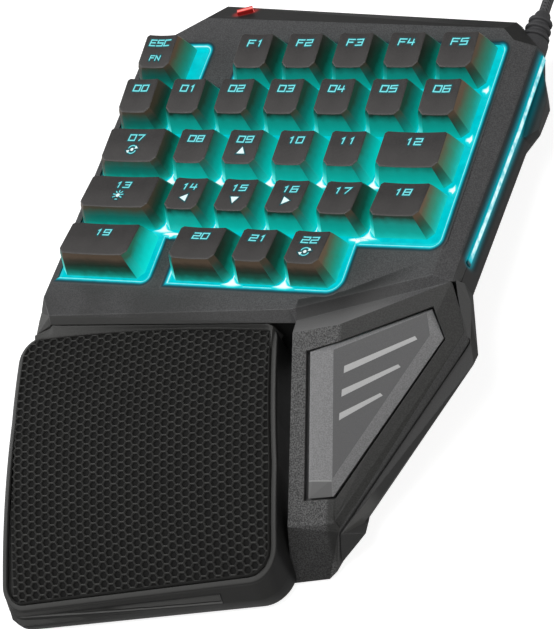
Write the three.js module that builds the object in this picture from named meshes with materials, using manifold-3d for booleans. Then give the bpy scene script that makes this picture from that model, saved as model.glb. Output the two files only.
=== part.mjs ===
// Gaming keypad: a tilted key deck, a thumb button module and a sliding palm rest.
// Millimetres, +Z up, the keys' back row towards +Y. Each piece is a solid of its own.
import * as THREE from 'three';
import { ConvexGeometry } from 'three/addons/geometries/ConvexGeometry.js';
import { mergeVertices } from 'three/addons/utils/BufferGeometryUtils.js';
import Module from 'manifold-3d';

const wasm = await Module();
wasm.setup();

// Driving dimensions
const keyPitch = 19.05;
const deckTilt = THREE.MathUtils.degToRad(-7);
const deckHeight = 31.5;
const keyTravel = 3.5;
const clearance = 0.3;
const overrun = 1;
const weldTolerance = 0.0001;

// Shells
const shellWall = 1.8;
const deckTop = -1;
const deckThickness = 2.7;
const seamLevel = -9;
const flankLevel = -17;
const baseLift = 2.6;
const floorThickness = 2;
const roofDrop = 0.8;

// Key well: how far its edge stands off the keys' cells
const wellSideGap = 1.4;
const wellEndGap = 1;
const wellRightGap = 2.45;
const wellCornerRadius = 3;

// Keycaps
const capHeight = 8.3;
const capDish = 0.6;
const capEdge = 0.45;
const capSideGap = 0.6;
const capEndGap = 1.25;
const capTopSide = 3.2;
const capTopBack = 2;
const capTopFront = 3.75;
const capBaseCorner = 2.2;
const capTopCorner = 1.8;
const capRearCorner = 0.8;
const capWall = 1.3;
const stemRadius = 2.75;
const stemLength = 8.2;
const stemRoot = 0.5;
const capSteps = 4;

// Key frame, domes and boards below the keys
const framePlateThickness = 2;
const frameFlangeWidth = 1.6;
const lipWidth = 0.9;
const lipGap = 0.4;
const guideWall = 1.1;
const guideRiseHeight = 4.6;
const guideClearance = 0.35;
const domeBase = 6.5;
const domeCrown = 4.4;
const domeWall = 0.8;
const domeLevel = -stemLength - keyTravel - clearance;
const domeSheetThickness = 0.8;
const domeRise = keyTravel - domeSheetThickness;
const membraneThickness = 0.6;
const ledBoardThickness = 1.6;
const backplateThickness = 1.2;
const controllerThickness = 1.6;
const controllerLevel = -22;
const layerMargin = 1;
const layerCorner = 4;
const layerFrontCorner = 9;

// Screws and their bosses
const screwShank = 1.4;
const screwHead = 3.1;
const screwHeadHeight = 2;
const screwSink = 4.4;
const bossWall = 1.1;
const bossFoot = 4.2;
const screwReach = 4.2;

// Thumb button and its switch
const thumbTravel = 2.5;
const thumbSkirt = 5;
const thumbFlange = 1.2;
const thumbFlangeDepth = 4.4;
const thumbFlangeReach = 1.9;
const plungerRadius = 2.5;
const plungerSink = 0.6;
const switchBody = 12;
const switchFloor = 1;
const switchBoard = 26;
const switchBoardThickness = 1.6;
const switchPost = 2.6;

// Light strip and indicator lens
const stripDepth = 3;
const stripHeight = 2.4;
const lensWidth = 1.7;
const lensDepth = 3.2;

// Palm rest
const palmBackHeight = 37.1;
const palmRun = 83;
const palmDrop = 24.5;
const palmSlopeShare = 0.262;
const palmTurn = THREE.MathUtils.degToRad(8);
const palmRim = 1;
const palmRimWidth = 2;
const palmBackRim = 1.3;
const palmRimRound = 1.2;
const palmPadThickness = 2;
const palmSkin = 2.4;
const palmWall = 2.2;
const palmLeanLength = 3.6;
const palmTuckWidth = 3;
const palmLift = 1.7;
const palmFootRound = 0.6;
const palmSkirtHeight = 7;
const palmSlideTurn = THREE.MathUtils.degToRad(4.2);
const palmStep = 12;
const tongueWidth = 12;
const tongueThickness = 3;
const tongueLength = 42;
const tongueLift = 6;
const grooveHeight = 2.4;
const grooveDepth = 1.4;

// Feet
const footRadius = 7;
const footHeight = 3.4;

// Strain relief, cord and plug
const cordDiameter = 3.6;
const reliefRoot = 4.9;
const reliefTip = 3.3;
const reliefRib = 0.8;
const reliefRibWidth = 1.6;
const reliefLevel = -10;
const coilStep = cordDiameter + 0.55;
const coilInner = 10;
const coilPassWidth = 3;
const coilLift = 0.1;
const coilLoops = 5.5;
const coilOutLoops = 5.25;
const coilStepsPerLoop = 24;
const plugLength = 28;
const plugWidth = 15;
const plugHeight = 7.6;
const plugRound = 2;
const contactLength = 12;
const contactWidth = 12;
const contactHeight = 4.5;
const contactWall = 0.5;

// Key layout: name, row, left edge and width, the last two as shares of the key pitch
const keyLayoutShares = [
  ['esc', 0, 0, 1], ['f1', 0, 2, 1], ['f2', 0, 3, 1], ['f3', 0, 4, 1], ['f4', 0, 5, 1], ['f5', 0, 6, 1],
  ['00', 1, 0, 1], ['01', 1, 1, 1], ['02', 1, 2, 1], ['03', 1, 3, 1], ['04', 1, 4, 1], ['05', 1, 5, 1],
  ['06', 1, 6, 1],
  ['07', 2, 0, 1.5], ['08', 2, 1.5, 1], ['09', 2, 2.5, 1], ['10', 2, 3.5, 1], ['11', 2, 4.5, 1],
  ['12', 2, 5.5, 1.5],
  ['13', 3, 0, 1.75], ['14', 3, 1.75, 1], ['15', 3, 2.75, 1], ['16', 3, 3.75, 1], ['17', 3, 4.75, 1],
  ['18', 3, 5.75, 1.25],
  ['19', 4, 0, 1.75], ['20', 4, 2.25, 1.25], ['21', 4, 3.5, 1], ['22', 4, 4.5, 1],
];
// Each row's keytop height and its rise from front to back, as shares of the cap height
const rowHeightShares = [1, 1.07, 0.88, 0.94, 1];
const rowTiltShares = [0.127, 0.141, 0.048, -0.169, -0.205];

// Outlines of the key block, clockwise from the back left corner, as shares of the key pitch:
// the deck's edge, the foot of its bevel, the seam, the flank and the base
const deckEdgeShares = [
  [-0.178, -0.063], [0.861, 0.667], [6.929, 0.357], [7.181, 0.11], [7.171, -1.47],
  [7.139, -4.567], [4.766, -5.354], [0.073, -5.743], [-0.194, -5.381], [-0.178, -4.514],
];
const bevelFootShares = [
  [-0.189, 0.21, -0.262], [1.05, 1.087, -0.262], [7.008, 0.635, -0.262], [7.559, 0.084, -0.21],
  [7.538, -1.47, -0.21], [7.428, -4.588, -0.21], [4.829, -5.486, -0.262], [0.01, -5.806, -0.262],
  [-0.294, -5.543, -0.262], [-0.189, -4.514, -0.262],
];
const seamShares = [
  [-0.199, 0.236], [1.076, 1.129], [7.034, 0.682], [7.601, 0.105], [7.58, -1.47], [7.433, -4.409],
  [4.803, -5.354], [-0.063, -5.732], [-0.346, -5.533], [-0.199, -4.514],
];
const flankShares = [
  [-0.22, 0.236], [1.092, 1.165], [7.008, 0.745], [7.517, -0.105], [7.612, -1.522], [7.475, -4.514],
  [4.793, -5.344], [-0.063, -5.717], [-0.346, -5.512], [-0.22, -4.514],
];
const baseShares = [
  [0, 0.105], [1.155, 0.919], [6.772, 0.499], [7.244, -0.157], [7.034, -1.522], [6.772, -4.409],
  [4.724, -5.197], [0.026, -5.522], [-0.178, -5.333], [-0.052, -4.514],
];

// Corners of the thumb module's upper body, then of its lower body and of the ear at its front
const moduleTopShares = [
  [4.85, -5.69, -0.236], [5.643, -5.486, -0.236], [7.076, -4.756, -0.236], [7.428, -4.588, -0.21],
  [7.197, -4.898, -0.394], [7.648, -5.218, -0.703], [5.78, -8.299, -1.785], [5.003, -8.446, -1.759],
  [4.829, -5.249, -0.236], [6.982, -4.514, -0.236], [7.68, -5.281, -0.892], [5.858, -8.373, -1.916],
  [5.642, -8.743, -2.624], [5.514, -8.864, -2.686], [4.836, -9.015, -2.704], [4.829, -5.249, -0.84],
];
const moduleLowerShares = [
  [7.412, -4.304, -0.52], [7.475, -4.409, -0.892], [7.816, -5.423, -1.05], [7.79, -5.601, -1.05],
  [7.717, -5.354, -0.924], [6.283, -7.879, -1.995], [5.89, -8.378, -1.953], [6.982, -4.409, -2.037],
  [6.903, -5.564, -2.184], [5.984, -7.664, -2.441], [4.934, -5.459, -2.152], [5.039, -8.399, -2.551],
  [5.564, -8.504, -2.562], [4.829, -5.249, -0.84], [4.889, -8.952, -2.662], [5.514, -8.822, -2.644],
];
const earShares = [
  [5.89, -8.378, -1.963], [6.241, -8.252, -2.1], [6.157, -7.848, -2.178], [5.627, -8.714, -2.604],
  [5.921, -8.215, -2.52], [5.984, -7.822, -2.493], [5.459, -8.294, -2.52],
];
// Corners of the armoured bump on the right flank
const bumpShares = [
  [7.549, -0.052, -0.63], [7.465, -0.052, -0.997], [7.769, -0.593, -0.672], [7.738, -0.593, -0.866],
  [7.585, -0.593, -1.207], [7.811, -0.735, -0.656], [7.785, -0.735, -0.892], [7.559, -0.735, -1.26],
  [7.811, -1.27, -0.682], [7.769, -1.27, -0.866], [7.454, -1.27, -1.155], [7.638, -1.444, -0.656],
  [7.591, -1.444, -0.892], [7.402, 0, -0.63], [7.297, 0, -1.26], [7.402, -1.522, -0.63],
  [7.244, -1.522, -1.365],
];

// Thumb button: the recess it sits in, its rim and its raised panel
const recessShares = [
  [5.113, -5.921, -0.399], [5.68, -5.717, -0.373], [7.144, -4.955, -0.409],
  [7.36, -5.375, -0.698], [5.801, -7.937, -1.596], [5.26, -8.042, -1.57],
];
const buttonRimShares = [
  [5.176, -5.916, -0.425], [5.575, -5.843, -0.43], [7.102, -4.982, -0.43],
  [7.323, -5.354, -0.698], [5.759, -7.906, -1.585], [5.328, -7.995, -1.575],
];
const buttonPanelShares = [
  [5.606, -5.869, -0.394], [7.05, -5.076, -0.409], [7.123, -5.375, -0.588],
  [5.743, -7.68, -1.402], [5.386, -7.748, -1.428],
];
const thumbNormalShares = [0.258, -0.456, 0.852];
const thumbCentreShares = [6.25, -6.35, -0.84];

const stripShares = [[7.612, 0.047], [7.591, -1.449], [7.52, -3.15], [7.468, -4.094]];
const lensShares = [[1.438, 0.8, -0.141], [1.69, 0.93, -0.195]];
const screwShares = [[1.26, 0.4], [6.404, 0.37], [1.785, -5.37], [6.404, -4.462]];
const boardPostShares = [[1.9, -1.8], [4.4, -1.8], [1.9, -2.75], [4.4, -2.75]];
const controllerShares = [[1.6, -1.5], [4.7, -1.5], [4.7, -3.05], [1.6, -3.05]];
const ribShares = [-1.1, -3.5];
const ribSpanShares = [0.6, 6.6];
const ribHalfShare = 0.04;
const reliefShares = [7.295, 0.12];
const reliefLengthShare = 0.879;
const reliefRibShares = [0.43, 0.61, 0.79];
const switchPostShares = [[-0.45, -0.28], [0.45, 0.28]];

// Palm rest and feet, in the plane of the desk
const palmShares = [
  [-0.656, -6.016], [4.388, -5.48], [4.793, -7.717], [4.95, -9.449], [-0.325, -10.572], [-0.493, -7.507],
];
const palmCornerShares = [0.47, 0.2, 2, 0.58, 0.37, 2];
const palmBackEdge = [0, 1];
const palmOriginShares = [2.1, -5.696];
const tongueShares = [[0.735, -6.194], [3.465, -5.98]];
const grooveShares = [[0.3, -10.44], [2.55, -9.96]];
const bodyFootShares = [[0.735, 0.05], [6.65, 0.05], [5.4, -8.25]];
const palmFootShares = [[0.42, -10], [4.2, -9.1]];
const coilCentreShares = [5.459, 4.409];
// The plug's grip: distance along it and size of its section, as shares of its length and its size
const plugTaperShares = [[0, 0.55], [0.12, 0.8], [0.3, 1], [1, 1]];

// Route of the cord in millimetres: from the strain relief to the coil, and from the coil to the plug
const leadRoute = [
  [139, 17.94, 19.22], [139, 22, 18.7], [139, 26, 17.9], [139.1, 30.5, 16.4], [139.2, 35, 14.1],
  [139.3, 39.5, 11.1], [139.4, 44, 7.9], [139.5, 48.5, 5.1], [139.6, 53, 3.1], [139.7, 57.5, 2.2],
  [139.8, 62, 1.95], [139.8, 67, 1.9], [139.8, 72, 1.9], [139.8, 78, 1.9], [139.8, 84, 1.9],
];
const tailRoute = [
  [104, 118.79, 6.05], [100, 118.9, 6.05], [96, 119, 6], [91, 119.1, 5.4], [86, 119.1, 4.2], [81, 119, 3],
  [76, 118.8, 2.2], [71, 118.5, 1.95], [66, 118.2, 2.2], [61, 118, 3], [56, 117.8, 3.8], [52, 117.7, 4.1],
  [47, 117.7, 4.1],
];

const root = new THREE.Group();
const deckGroup = new THREE.Group();
deckGroup.rotation.x = deckTilt;
deckGroup.position.z = deckHeight;
const deskGroup = new THREE.Group();
root.add(deckGroup, deskGroup);
const deckMatrix = new THREE.Matrix4().makeRotationX(deckTilt).setPosition(0, 0, deckHeight);
const deskToDeck = deckMatrix.clone().invert();

// Materials

function finish(color, roughness, metalness = 0, emissive = 0x000000) {
  return new THREE.MeshStandardMaterial({ color, roughness, metalness, emissive });
}

const finishes = {
  keycap: finish(0x3a3838, 0.45),
  shell: finish(0x47474a, 0.6),
  lowerShell: finish(0x38383a, 0.55),
  button: finish(0x58585b, 0.4),
  rubber: finish(0x18181a, 0.9),
  frame: finish(0x8fd8de, 0.4, 0, 0x0a6a72),
  light: finish(0xc8f4f6, 0.3, 0, 0x19b8c4),
  red: finish(0xc81414, 0.3, 0, 0xa00808),
  dome: finish(0xd8d8d4, 0.7),
  film: finish(0xb9c3c8, 0.5),
  board: finish(0x1c5a34, 0.5),
  steel: finish(0xb4b6ba, 0.35, 0.9),
  cord: finish(0x3c3c3e, 0.8),
};

// Geometry helpers

function placed(shares) {
  return shares.map(([x, y, z = 0]) => new THREE.Vector3(x, y, z).multiplyScalar(keyPitch));
}

// A closed solid through rings of equal point counts. Flat rings are capped by triangulation.
// With ladder caps each ring runs out along one side and back along the other, and its cap joins
// the two sides rung by rung. With fan caps every edge of the ring meets the ring's middle.
function lofted(rings, caps = 'flat') {
  const count = rings[0].length;
  const last = (rings.length - 1) * count;
  const middles = caps === 'fan' ? [rings[0], rings.at(-1)].map(middleOf) : [];
  const positions = [...rings.flat(), ...middles].flatMap((p) => [p.x, p.y, p.z]);
  const index = [];
  for (let k = 0; k + 1 < rings.length; k += 1) {
    for (let i = 0; i < count; i += 1) {
      const a = k * count + i;
      const b = k * count + ((i + 1) % count);
      index.push(a, b, b + count, a, b + count, a + count);
    }
  }
  if (caps === 'fan') {
    for (let i = 0; i < count; i += 1) {
      const next = (i + 1) % count;
      index.push(next, i, last + count);
      index.push(last + i, last + next, last + count + 1);
    }
  } else {
    for (const [a, b, c] of capFaces(rings[0], caps)) index.push(a, c, b);
    for (const [a, b, c] of capFaces(rings.at(-1), caps)) index.push(last + a, last + b, last + c);
  }
  const geometry = new THREE.BufferGeometry();
  geometry.setAttribute('position', new THREE.Float32BufferAttribute(positions, 3));
  geometry.setIndex(index);
  return signedVolume(geometry) < 0 ? turnedInsideOut(geometry) : geometry;
}

function middleOf(ring) {
  const sum = ring.reduce((total, p) => total.add(p), new THREE.Vector3());
  return sum.divideScalar(ring.length);
}

function capFaces(ring, caps) {
  const faces = [];
  if (caps === 'ladder') {
    for (let i = 0; 2 * i + 2 < ring.length; i += 1) {
      const j = ring.length - 1 - i;
      faces.push([i, i + 1, j - 1]);
      faces.push([i, j - 1, j]);
    }
    return faces;
  }
  const contour = ring.map((p) => new THREE.Vector2(p.x, p.y));
  const turn = Math.sign(THREE.ShapeUtils.area(contour));
  for (const [a, b, c] of THREE.ShapeUtils.triangulateShape(contour.slice(), [])) {
    const side = Math.sign(THREE.ShapeUtils.area([contour[a], contour[b], contour[c]]));
    faces.push(side === turn ? [a, b, c] : [a, c, b]);
  }
  return faces;
}

function signedVolume(geometry) {
  const p = geometry.attributes.position;
  const index = geometry.index.array;
  const [a, b, c] = [new THREE.Vector3(), new THREE.Vector3(), new THREE.Vector3()];
  let volume = 0;
  for (let i = 0; i < index.length; i += 3) {
    a.fromBufferAttribute(p, index[i]);
    b.fromBufferAttribute(p, index[i + 1]);
    c.fromBufferAttribute(p, index[i + 2]);
    volume += a.dot(b.cross(c));
  }
  return volume;
}

function turnedInsideOut(geometry) {
  const index = geometry.index.array;
  for (let i = 0; i < index.length; i += 3) {
    [index[i], index[i + 1]] = [index[i + 1], index[i]];
  }
  return geometry;
}

function solid(geometry, matrix) {
  const bare = new THREE.BufferGeometry();
  bare.setAttribute('position', geometry.attributes.position.clone());
  if (geometry.index) bare.setIndex(geometry.index.clone());
  if (matrix) bare.applyMatrix4(matrix);
  const merged = mergeVertices(bare, weldTolerance);
  return new wasm.Manifold(new wasm.Mesh({
    numProp: 3,
    vertProperties: new Float32Array(merged.attributes.position.array),
    triVerts: new Uint32Array(merged.index.array),
  }));
}

function geometryOf(body) {
  const mesh = body.getMesh();
  const geometry = new THREE.BufferGeometry();
  const corners = new Float32Array(mesh.triVerts.length * 3);
  mesh.triVerts.forEach((vertex, i) => {
    for (let axis = 0; axis < 3; axis += 1) {
      corners[3 * i + axis] = mesh.vertProperties[vertex * mesh.numProp + axis];
    }
  });
  geometry.setAttribute('position', new THREE.BufferAttribute(corners, 3));
  geometry.computeVertexNormals();
  return geometry;
}

function joined(bodies) {
  return bodies.reduce((whole, body) => whole.add(body));
}

function addPiece(group, name, body, material, place = new THREE.Vector3()) {
  const mesh = new THREE.Mesh(geometryOf(body), material);
  mesh.name = name;
  mesh.position.copy(place);
  group.add(mesh);
  return mesh;
}

function ringAt(points, level) {
  return points.map((p) => new THREE.Vector3(p.x, p.y, typeof level === 'function' ? level(p) : level));
}

function prism(points, low, high) {
  return solid(lofted([ringAt(points, low), ringAt(points, high)]));
}

function circle(radius, sides, x = 0, y = 0) {
  return Array.from({ length: sides }, (_, i) => {
    const angle = (2 * Math.PI * (i + 0.5)) / sides;
    return new THREE.Vector3(x + radius * Math.cos(angle), y + radius * Math.sin(angle), 0);
  });
}

function roundBar(radius, low, high, sides, x = 0, y = 0) {
  return prism(circle(radius, sides, x, y), low, high);
}

function hull(points) {
  return solid(new ConvexGeometry(points));
}

// The points moved away from the middle of their box, so that each side moves by the margin
function grown(points, margin) {
  const box = new THREE.Box3().setFromPoints(points);
  const middle = box.getCenter(new THREE.Vector3());
  const size = box.getSize(new THREE.Vector3());
  const ones = new THREE.Vector3(1, 1, 1);
  const scale = ones.clone().addScaledVector(ones.clone().divide(size), 2 * margin);
  return points.map((p) => p.clone().sub(middle).multiply(scale).add(middle));
}

// The points with copies set off by the margin along each axis, for a hull that clears the first
function thickened(points, margin) {
  const steps = [-margin, margin].flatMap((step) => [[step, 0, 0], [0, step, 0], [0, 0, step]]);
  return points.flatMap((p) => steps.map((step) => p.clone().add(new THREE.Vector3(...step))));
}

// A closed outline moved outwards (or inwards, below zero), each edge parallel to itself
function shifted(points, distance) {
  const turn = Math.sign(THREE.ShapeUtils.area(points));
  const outward = (a, b) => new THREE.Vector2((b.y - a.y) * turn, (a.x - b.x) * turn).normalize();
  return points.map((p, i) => {
    const before = outward(points.at(i - 1), p);
    const after = outward(p, points[(i + 1) % points.length]);
    const middle = before.clone().add(after);
    middle.multiplyScalar(distance / (1 + before.dot(after)));
    return new THREE.Vector3(p.x + middle.x, p.y + middle.y, p.z);
  });
}

// An outline with each corner turned on an arc of its own radius
function rounded(corners, radii, steps = 4) {
  const points = [];
  corners.forEach((corner, i) => {
    const radius = radii[i];
    if (radius <= 0) {
      points.push(corner.clone());
      return;
    }
    const toBefore = corners.at(i - 1).clone().sub(corner).setZ(0).normalize();
    const toAfter = corners[(i + 1) % corners.length].clone().sub(corner).setZ(0).normalize();
    const half = toBefore.angleTo(toAfter) / 2;
    const reach = radius / Math.tan(half);
    const start = corner.clone().addScaledVector(toBefore, reach);
    const end = corner.clone().addScaledVector(toAfter, reach);
    const inward = toBefore.clone().add(toAfter).normalize();
    const centre = corner.clone().addScaledVector(inward, radius / Math.sin(half));
    for (let k = 0; k <= steps; k += 1) {
      const spoke = start.clone().sub(centre).lerp(end.clone().sub(centre), k / steps);
      points.push(centre.clone().addScaledVector(spoke.normalize(), radius));
    }
  });
  return points;
}

function stepped(points, longest) {
  return points.flatMap((p, i) => {
    const next = points[(i + 1) % points.length];
    const parts = Math.max(1, Math.round(p.distanceTo(next) / longest));
    return Array.from({ length: parts }, (_, k) => p.clone().lerp(next, k / parts));
  });
}

// Level, in the deck's frame, of a height above the desk
function aboveDesk(height) {
  return (p) => (height - deckHeight - Math.sin(deckTilt) * p.y) / Math.cos(deckTilt);
}

// A straight bar of the given outline, from one distance to another along an axis
function along(axis, origin, outline, from, to, side = new THREE.Vector3(1, 0, 0)) {
  const w = axis.clone().normalize();
  const u = side.clone().addScaledVector(w, -side.dot(w)).normalize();
  const v = w.clone().cross(u);
  const matrix = new THREE.Matrix4().makeBasis(u, v, w).setPosition(origin);
  return solid(lofted([ringAt(outline, from), ringAt(outline, to)]), matrix);
}

function rectangle(width, depth) {
  const [x, y] = [width / 2, depth / 2];
  return [[-x, -y], [x, -y], [x, y], [-x, y]].map(([a, b]) => new THREE.Vector3(a, b, 0));
}

// A tube of flat sides round a line of points. The first and last cuts are square to the line.
function tubeAlong(points, radius, sides) {
  const up = new THREE.Vector3(0, 0, 1);
  const rings = points.map((p, i) => {
    const before = points[Math.max(i - 1, 0)];
    const after = points[Math.min(i + 1, points.length - 1)];
    const ahead = after.clone().sub(before).normalize();
    const across = ahead.clone().cross(up).normalize();
    const rise = across.clone().cross(ahead);
    return Array.from({ length: sides }, (_, k) => {
      const angle = (2 * Math.PI * (k + 0.5)) / sides;
      return p.clone().addScaledVector(across, radius * Math.cos(angle))
        .addScaledVector(rise, radius * Math.sin(angle));
    });
  });
  return lofted(rings, 'ladder');
}

// Key layout

const keys = keyLayoutShares.map(([label, row, left, width]) => ({
  name: `key_${label}`,
  row,
  width: width * keyPitch,
  x: (left + width / 2) * keyPitch,
  y: -(row + 0.5) * keyPitch,
}));

const wellCorners = [
  [-wellSideGap, -wellSideGap],
  [wellEndGap, wellEndGap],
  [1.25 * keyPitch, wellEndGap],
  [1.25 * keyPitch, -keyPitch + wellEndGap],
  [2 * keyPitch - wellSideGap, -keyPitch + wellEndGap],
  [2 * keyPitch - wellSideGap, wellEndGap],
  [7 * keyPitch + wellRightGap, wellEndGap],
  [7 * keyPitch + wellRightGap, -4 * keyPitch - wellEndGap],
  [5.5 * keyPitch + wellSideGap, -4 * keyPitch - wellEndGap],
  [5.5 * keyPitch + wellSideGap, -5 * keyPitch - wellEndGap],
  [2.25 * keyPitch - wellSideGap, -5 * keyPitch - wellEndGap],
  [2.25 * keyPitch - wellSideGap, -4 * keyPitch - wellSideGap],
  [1.75 * keyPitch + wellSideGap, -4 * keyPitch - wellSideGap],
  [1.75 * keyPitch + wellSideGap, -5 * keyPitch - wellEndGap],
  [-wellSideGap, -5 * keyPitch - wellEndGap],
].map(([x, y]) => new THREE.Vector3(x, y, 0));
const wellRoundShares = [0, 0, 1, 0, 0, 0, 1.2, 1.3, 0, 1.8, 0, 0, 0, 1, 0];

function wellOutline(distance) {
  const radii = wellRoundShares.map((share) => (share > 0 ? share * wellCornerRadius + distance : 0));
  return rounded(shifted(wellCorners, distance), radii);
}

// Keycaps

function capRing(left, right, front, back, frontCorner, backCorner, level) {
  const frontSide = [[left, front + frontCorner]];
  const backSide = [[left, back - backCorner]];
  for (let i = 0; i <= capSteps; i += 1) {
    const share = i / capSteps;
    frontSide.push([THREE.MathUtils.lerp(left + frontCorner, right - frontCorner, share), front]);
    backSide.push([THREE.MathUtils.lerp(left + backCorner, right - backCorner, share), back]);
  }
  frontSide.push([right, front + frontCorner]);
  backSide.push([right, back - backCorner]);
  return [...frontSide, ...backSide.reverse()].map(([x, y]) => new THREE.Vector3(x, y, level(x, y)));
}

function keycap(width, row) {
  const half = width / 2;
  const halfDepth = keyPitch / 2;
  const height = capHeight * rowHeightShares[row];
  const tilt = capHeight * rowTiltShares[row];
  const topHalf = half - capTopSide;
  const topFront = -halfDepth + capTopFront;
  const topBack = halfDepth - capTopBack;
  const baseHalf = half - capSideGap;
  const baseEnd = halfDepth - capEndGap;
  const top = (x, y) => height
    + tilt * ((y - (topFront + topBack) / 2) / (topBack - topFront))
    - capDish * (1 - (x / topHalf) ** 2);
  const topEdge = (x, y) => top(x, y) - capEdge;
  const outer = solid(lofted([
    capRing(-baseHalf, baseHalf, -baseEnd, baseEnd, capBaseCorner, capRearCorner, () => 0),
    capRing(-topHalf, topHalf, topFront, topBack, capTopCorner, capRearCorner, topEdge),
    capRing(-topHalf + capEdge, topHalf - capEdge, topFront + capEdge, topBack - capEdge,
      capTopCorner - capEdge / 2, capRearCorner, top),
  ], 'ladder'));
  const ceiling = height - Math.abs(tilt) / 2 - capDish - capWall;
  const inner = solid(lofted([
    ringAt(rectangle(2 * (baseHalf - capWall), 2 * (baseEnd - capWall)), -overrun),
    ringAt(rectangle(2 * (baseHalf - capWall), 2 * (baseEnd - capWall)), 0),
    rectangle(2 * (topHalf - capWall / 2), topBack - topFront - capWall).map(
      (p) => new THREE.Vector3(p.x, p.y + (topFront + topBack) / 2, ceiling),
    ),
  ]));
  const stem = roundBar(stemRadius, -stemLength, ceiling + stemRoot, 8);
  return outer.subtract(inner).add(stem);
}

// Key frame, domes and boards

const frameTop = deckTop - deckThickness - clearance;
const frameBottom = frameTop - framePlateThickness;
const deckEdge = placed(deckEdgeShares);
const layerOutline = [
  [-wellSideGap + clearance, -wellSideGap],
  [wellEndGap, wellEndGap + layerMargin],
  [7 * keyPitch + wellRightGap - layerCorner, wellEndGap + layerMargin],
  [7 * keyPitch + wellRightGap, wellEndGap + layerMargin - layerCorner],
  [7 * keyPitch + wellRightGap, -4 * keyPitch - wellEndGap - layerMargin],
  [5.5 * keyPitch + wellSideGap, -4 * keyPitch - wellEndGap - layerMargin],
  [5.5 * keyPitch + wellSideGap, -5 * keyPitch - wellEndGap - layerMargin + layerFrontCorner],
  [5.5 * keyPitch + wellSideGap - layerFrontCorner, -5 * keyPitch - wellEndGap - layerMargin],
  [-wellSideGap + clearance, -5 * keyPitch - wellEndGap - layerMargin],
].map(([x, y]) => new THREE.Vector3(x, y, 0));

function keyFrame() {
  const limit = prism(shifted(deckEdge, -shellWall - clearance), frameBottom - overrun, frameTop + overrun);
  const lip = prism(wellOutline(-lipGap), frameBottom, deckTop - clearance)
    .subtract(prism(wellOutline(-lipGap - lipWidth), frameBottom - overrun, overrun));
  const bore = stemRadius + guideClearance;
  const guideTop = frameTop + guideRiseHeight;
  const guides = keys.map(({ x, y }) => roundBar(bore + guideWall, frameBottom, guideTop, 8, x, y));
  const bores = keys.map(({ x, y }) => roundBar(bore, frameBottom - overrun, guideTop + overrun, 8, x, y));
  return prism(wellOutline(frameFlangeWidth), frameBottom, frameTop).intersect(limit)
    .add(lip).add(joined(guides)).subtract(joined(bores));
}

function domeSheet() {
  const crown = domeLevel + domeSheetThickness + domeRise;
  const domes = keys.map((key) => solid(lofted([
    ringAt(circle(domeBase, 6, key.x, key.y), domeLevel),
    ringAt(circle(domeBase, 6, key.x, key.y), domeLevel + domeSheetThickness),
    ringAt(circle(domeCrown, 6, key.x, key.y), crown),
  ])));
  const hollows = keys.map((key) => solid(lofted([
    ringAt(circle(domeBase - domeWall, 6, key.x, key.y), domeLevel - overrun),
    ringAt(circle(domeBase - domeWall, 6, key.x, key.y), domeLevel),
    ringAt(circle(domeCrown - domeWall, 6, key.x, key.y), crown),
    ringAt(circle(domeCrown - domeWall, 6, key.x, key.y), crown + overrun),
  ])));
  return prism(layerOutline, domeLevel, domeLevel + domeSheetThickness)
    .add(joined(domes)).subtract(joined(hollows));
}

const membraneTop = domeLevel - clearance;
const ledBoardTop = membraneTop - membraneThickness - clearance;
const backplateTop = ledBoardTop - ledBoardThickness - clearance;
const backplateBottom = backplateTop - backplateThickness;

// Thumb module

const moduleTop = placed(moduleTopShares);
const moduleLower = placed(moduleLowerShares);
const thumbNormal = new THREE.Vector3(...thumbNormalShares).normalize();
const [thumbCentre] = placed([thumbCentreShares]);
const recess = placed(recessShares);

// Points of the module seen square to the button's face, from the button's centre
function onThumbPlane(points) {
  const u = new THREE.Vector3(1, 0, 0).addScaledVector(thumbNormal, -thumbNormal.x).normalize();
  const v = thumbNormal.clone().cross(u);
  return points.map((p) => {
    const offset = p.clone().sub(thumbCentre);
    return new THREE.Vector3(offset.dot(u), offset.dot(v), 0);
  });
}

function thumbBar(outline, from, to) {
  return along(thumbNormal, thumbCentre, outline, from, to);
}

function moduleHollow() {
  const inner = grown(moduleTop, -shellWall);
  const dropped = inner.map((p) => p.clone().add(new THREE.Vector3(0, 0, -3 * shellWall)));
  return hull([...inner, ...dropped]);
}

const flangeBottom = -thumbFlangeDepth - thumbFlangeReach;
const switchTop = flangeBottom - thumbTravel - 2 * clearance;
const plungerTip = switchTop - plungerSink;
const switchBottom = plungerTip - thumbTravel - clearance - switchFloor;

function thumbButton() {
  const rim = placed(buttonRimShares);
  const skirt = rim.map((p) => p.clone().addScaledVector(thumbNormal, -thumbSkirt));
  const body = hull([...rim, ...placed(buttonPanelShares), ...skirt]);
  const flangeOutline = shifted(onThumbPlane(recess), thumbFlange - clearance);
  const flange = thumbBar(flangeOutline, flangeBottom, -thumbFlangeDepth);
  const plunger = thumbBar(circle(plungerRadius, 12), plungerTip, -thumbSkirt / 2);
  return body.add(flange).add(plunger);
}

// The space that the button's flange sweeps as it is pressed
function buttonSpace() {
  const outline = shifted(onThumbPlane(recess), thumbFlange + clearance / 2);
  return thumbBar(outline, flangeBottom - thumbTravel - clearance, -thumbFlangeDepth);
}

function thumbSwitch() {
  const bore = circle(plungerRadius + guideClearance, 12);
  return thumbBar(rectangle(switchBody, switchBody), switchBottom, switchTop)
    .subtract(thumbBar(bore, switchBottom + switchFloor, switchTop + overrun));
}

function thumbBoard() {
  const top = switchBottom - clearance;
  return thumbBar(rectangle(switchBoard, switchBoard * 0.7), top - switchBoardThickness, top);
}

// Cuts shared by the two shells

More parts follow.
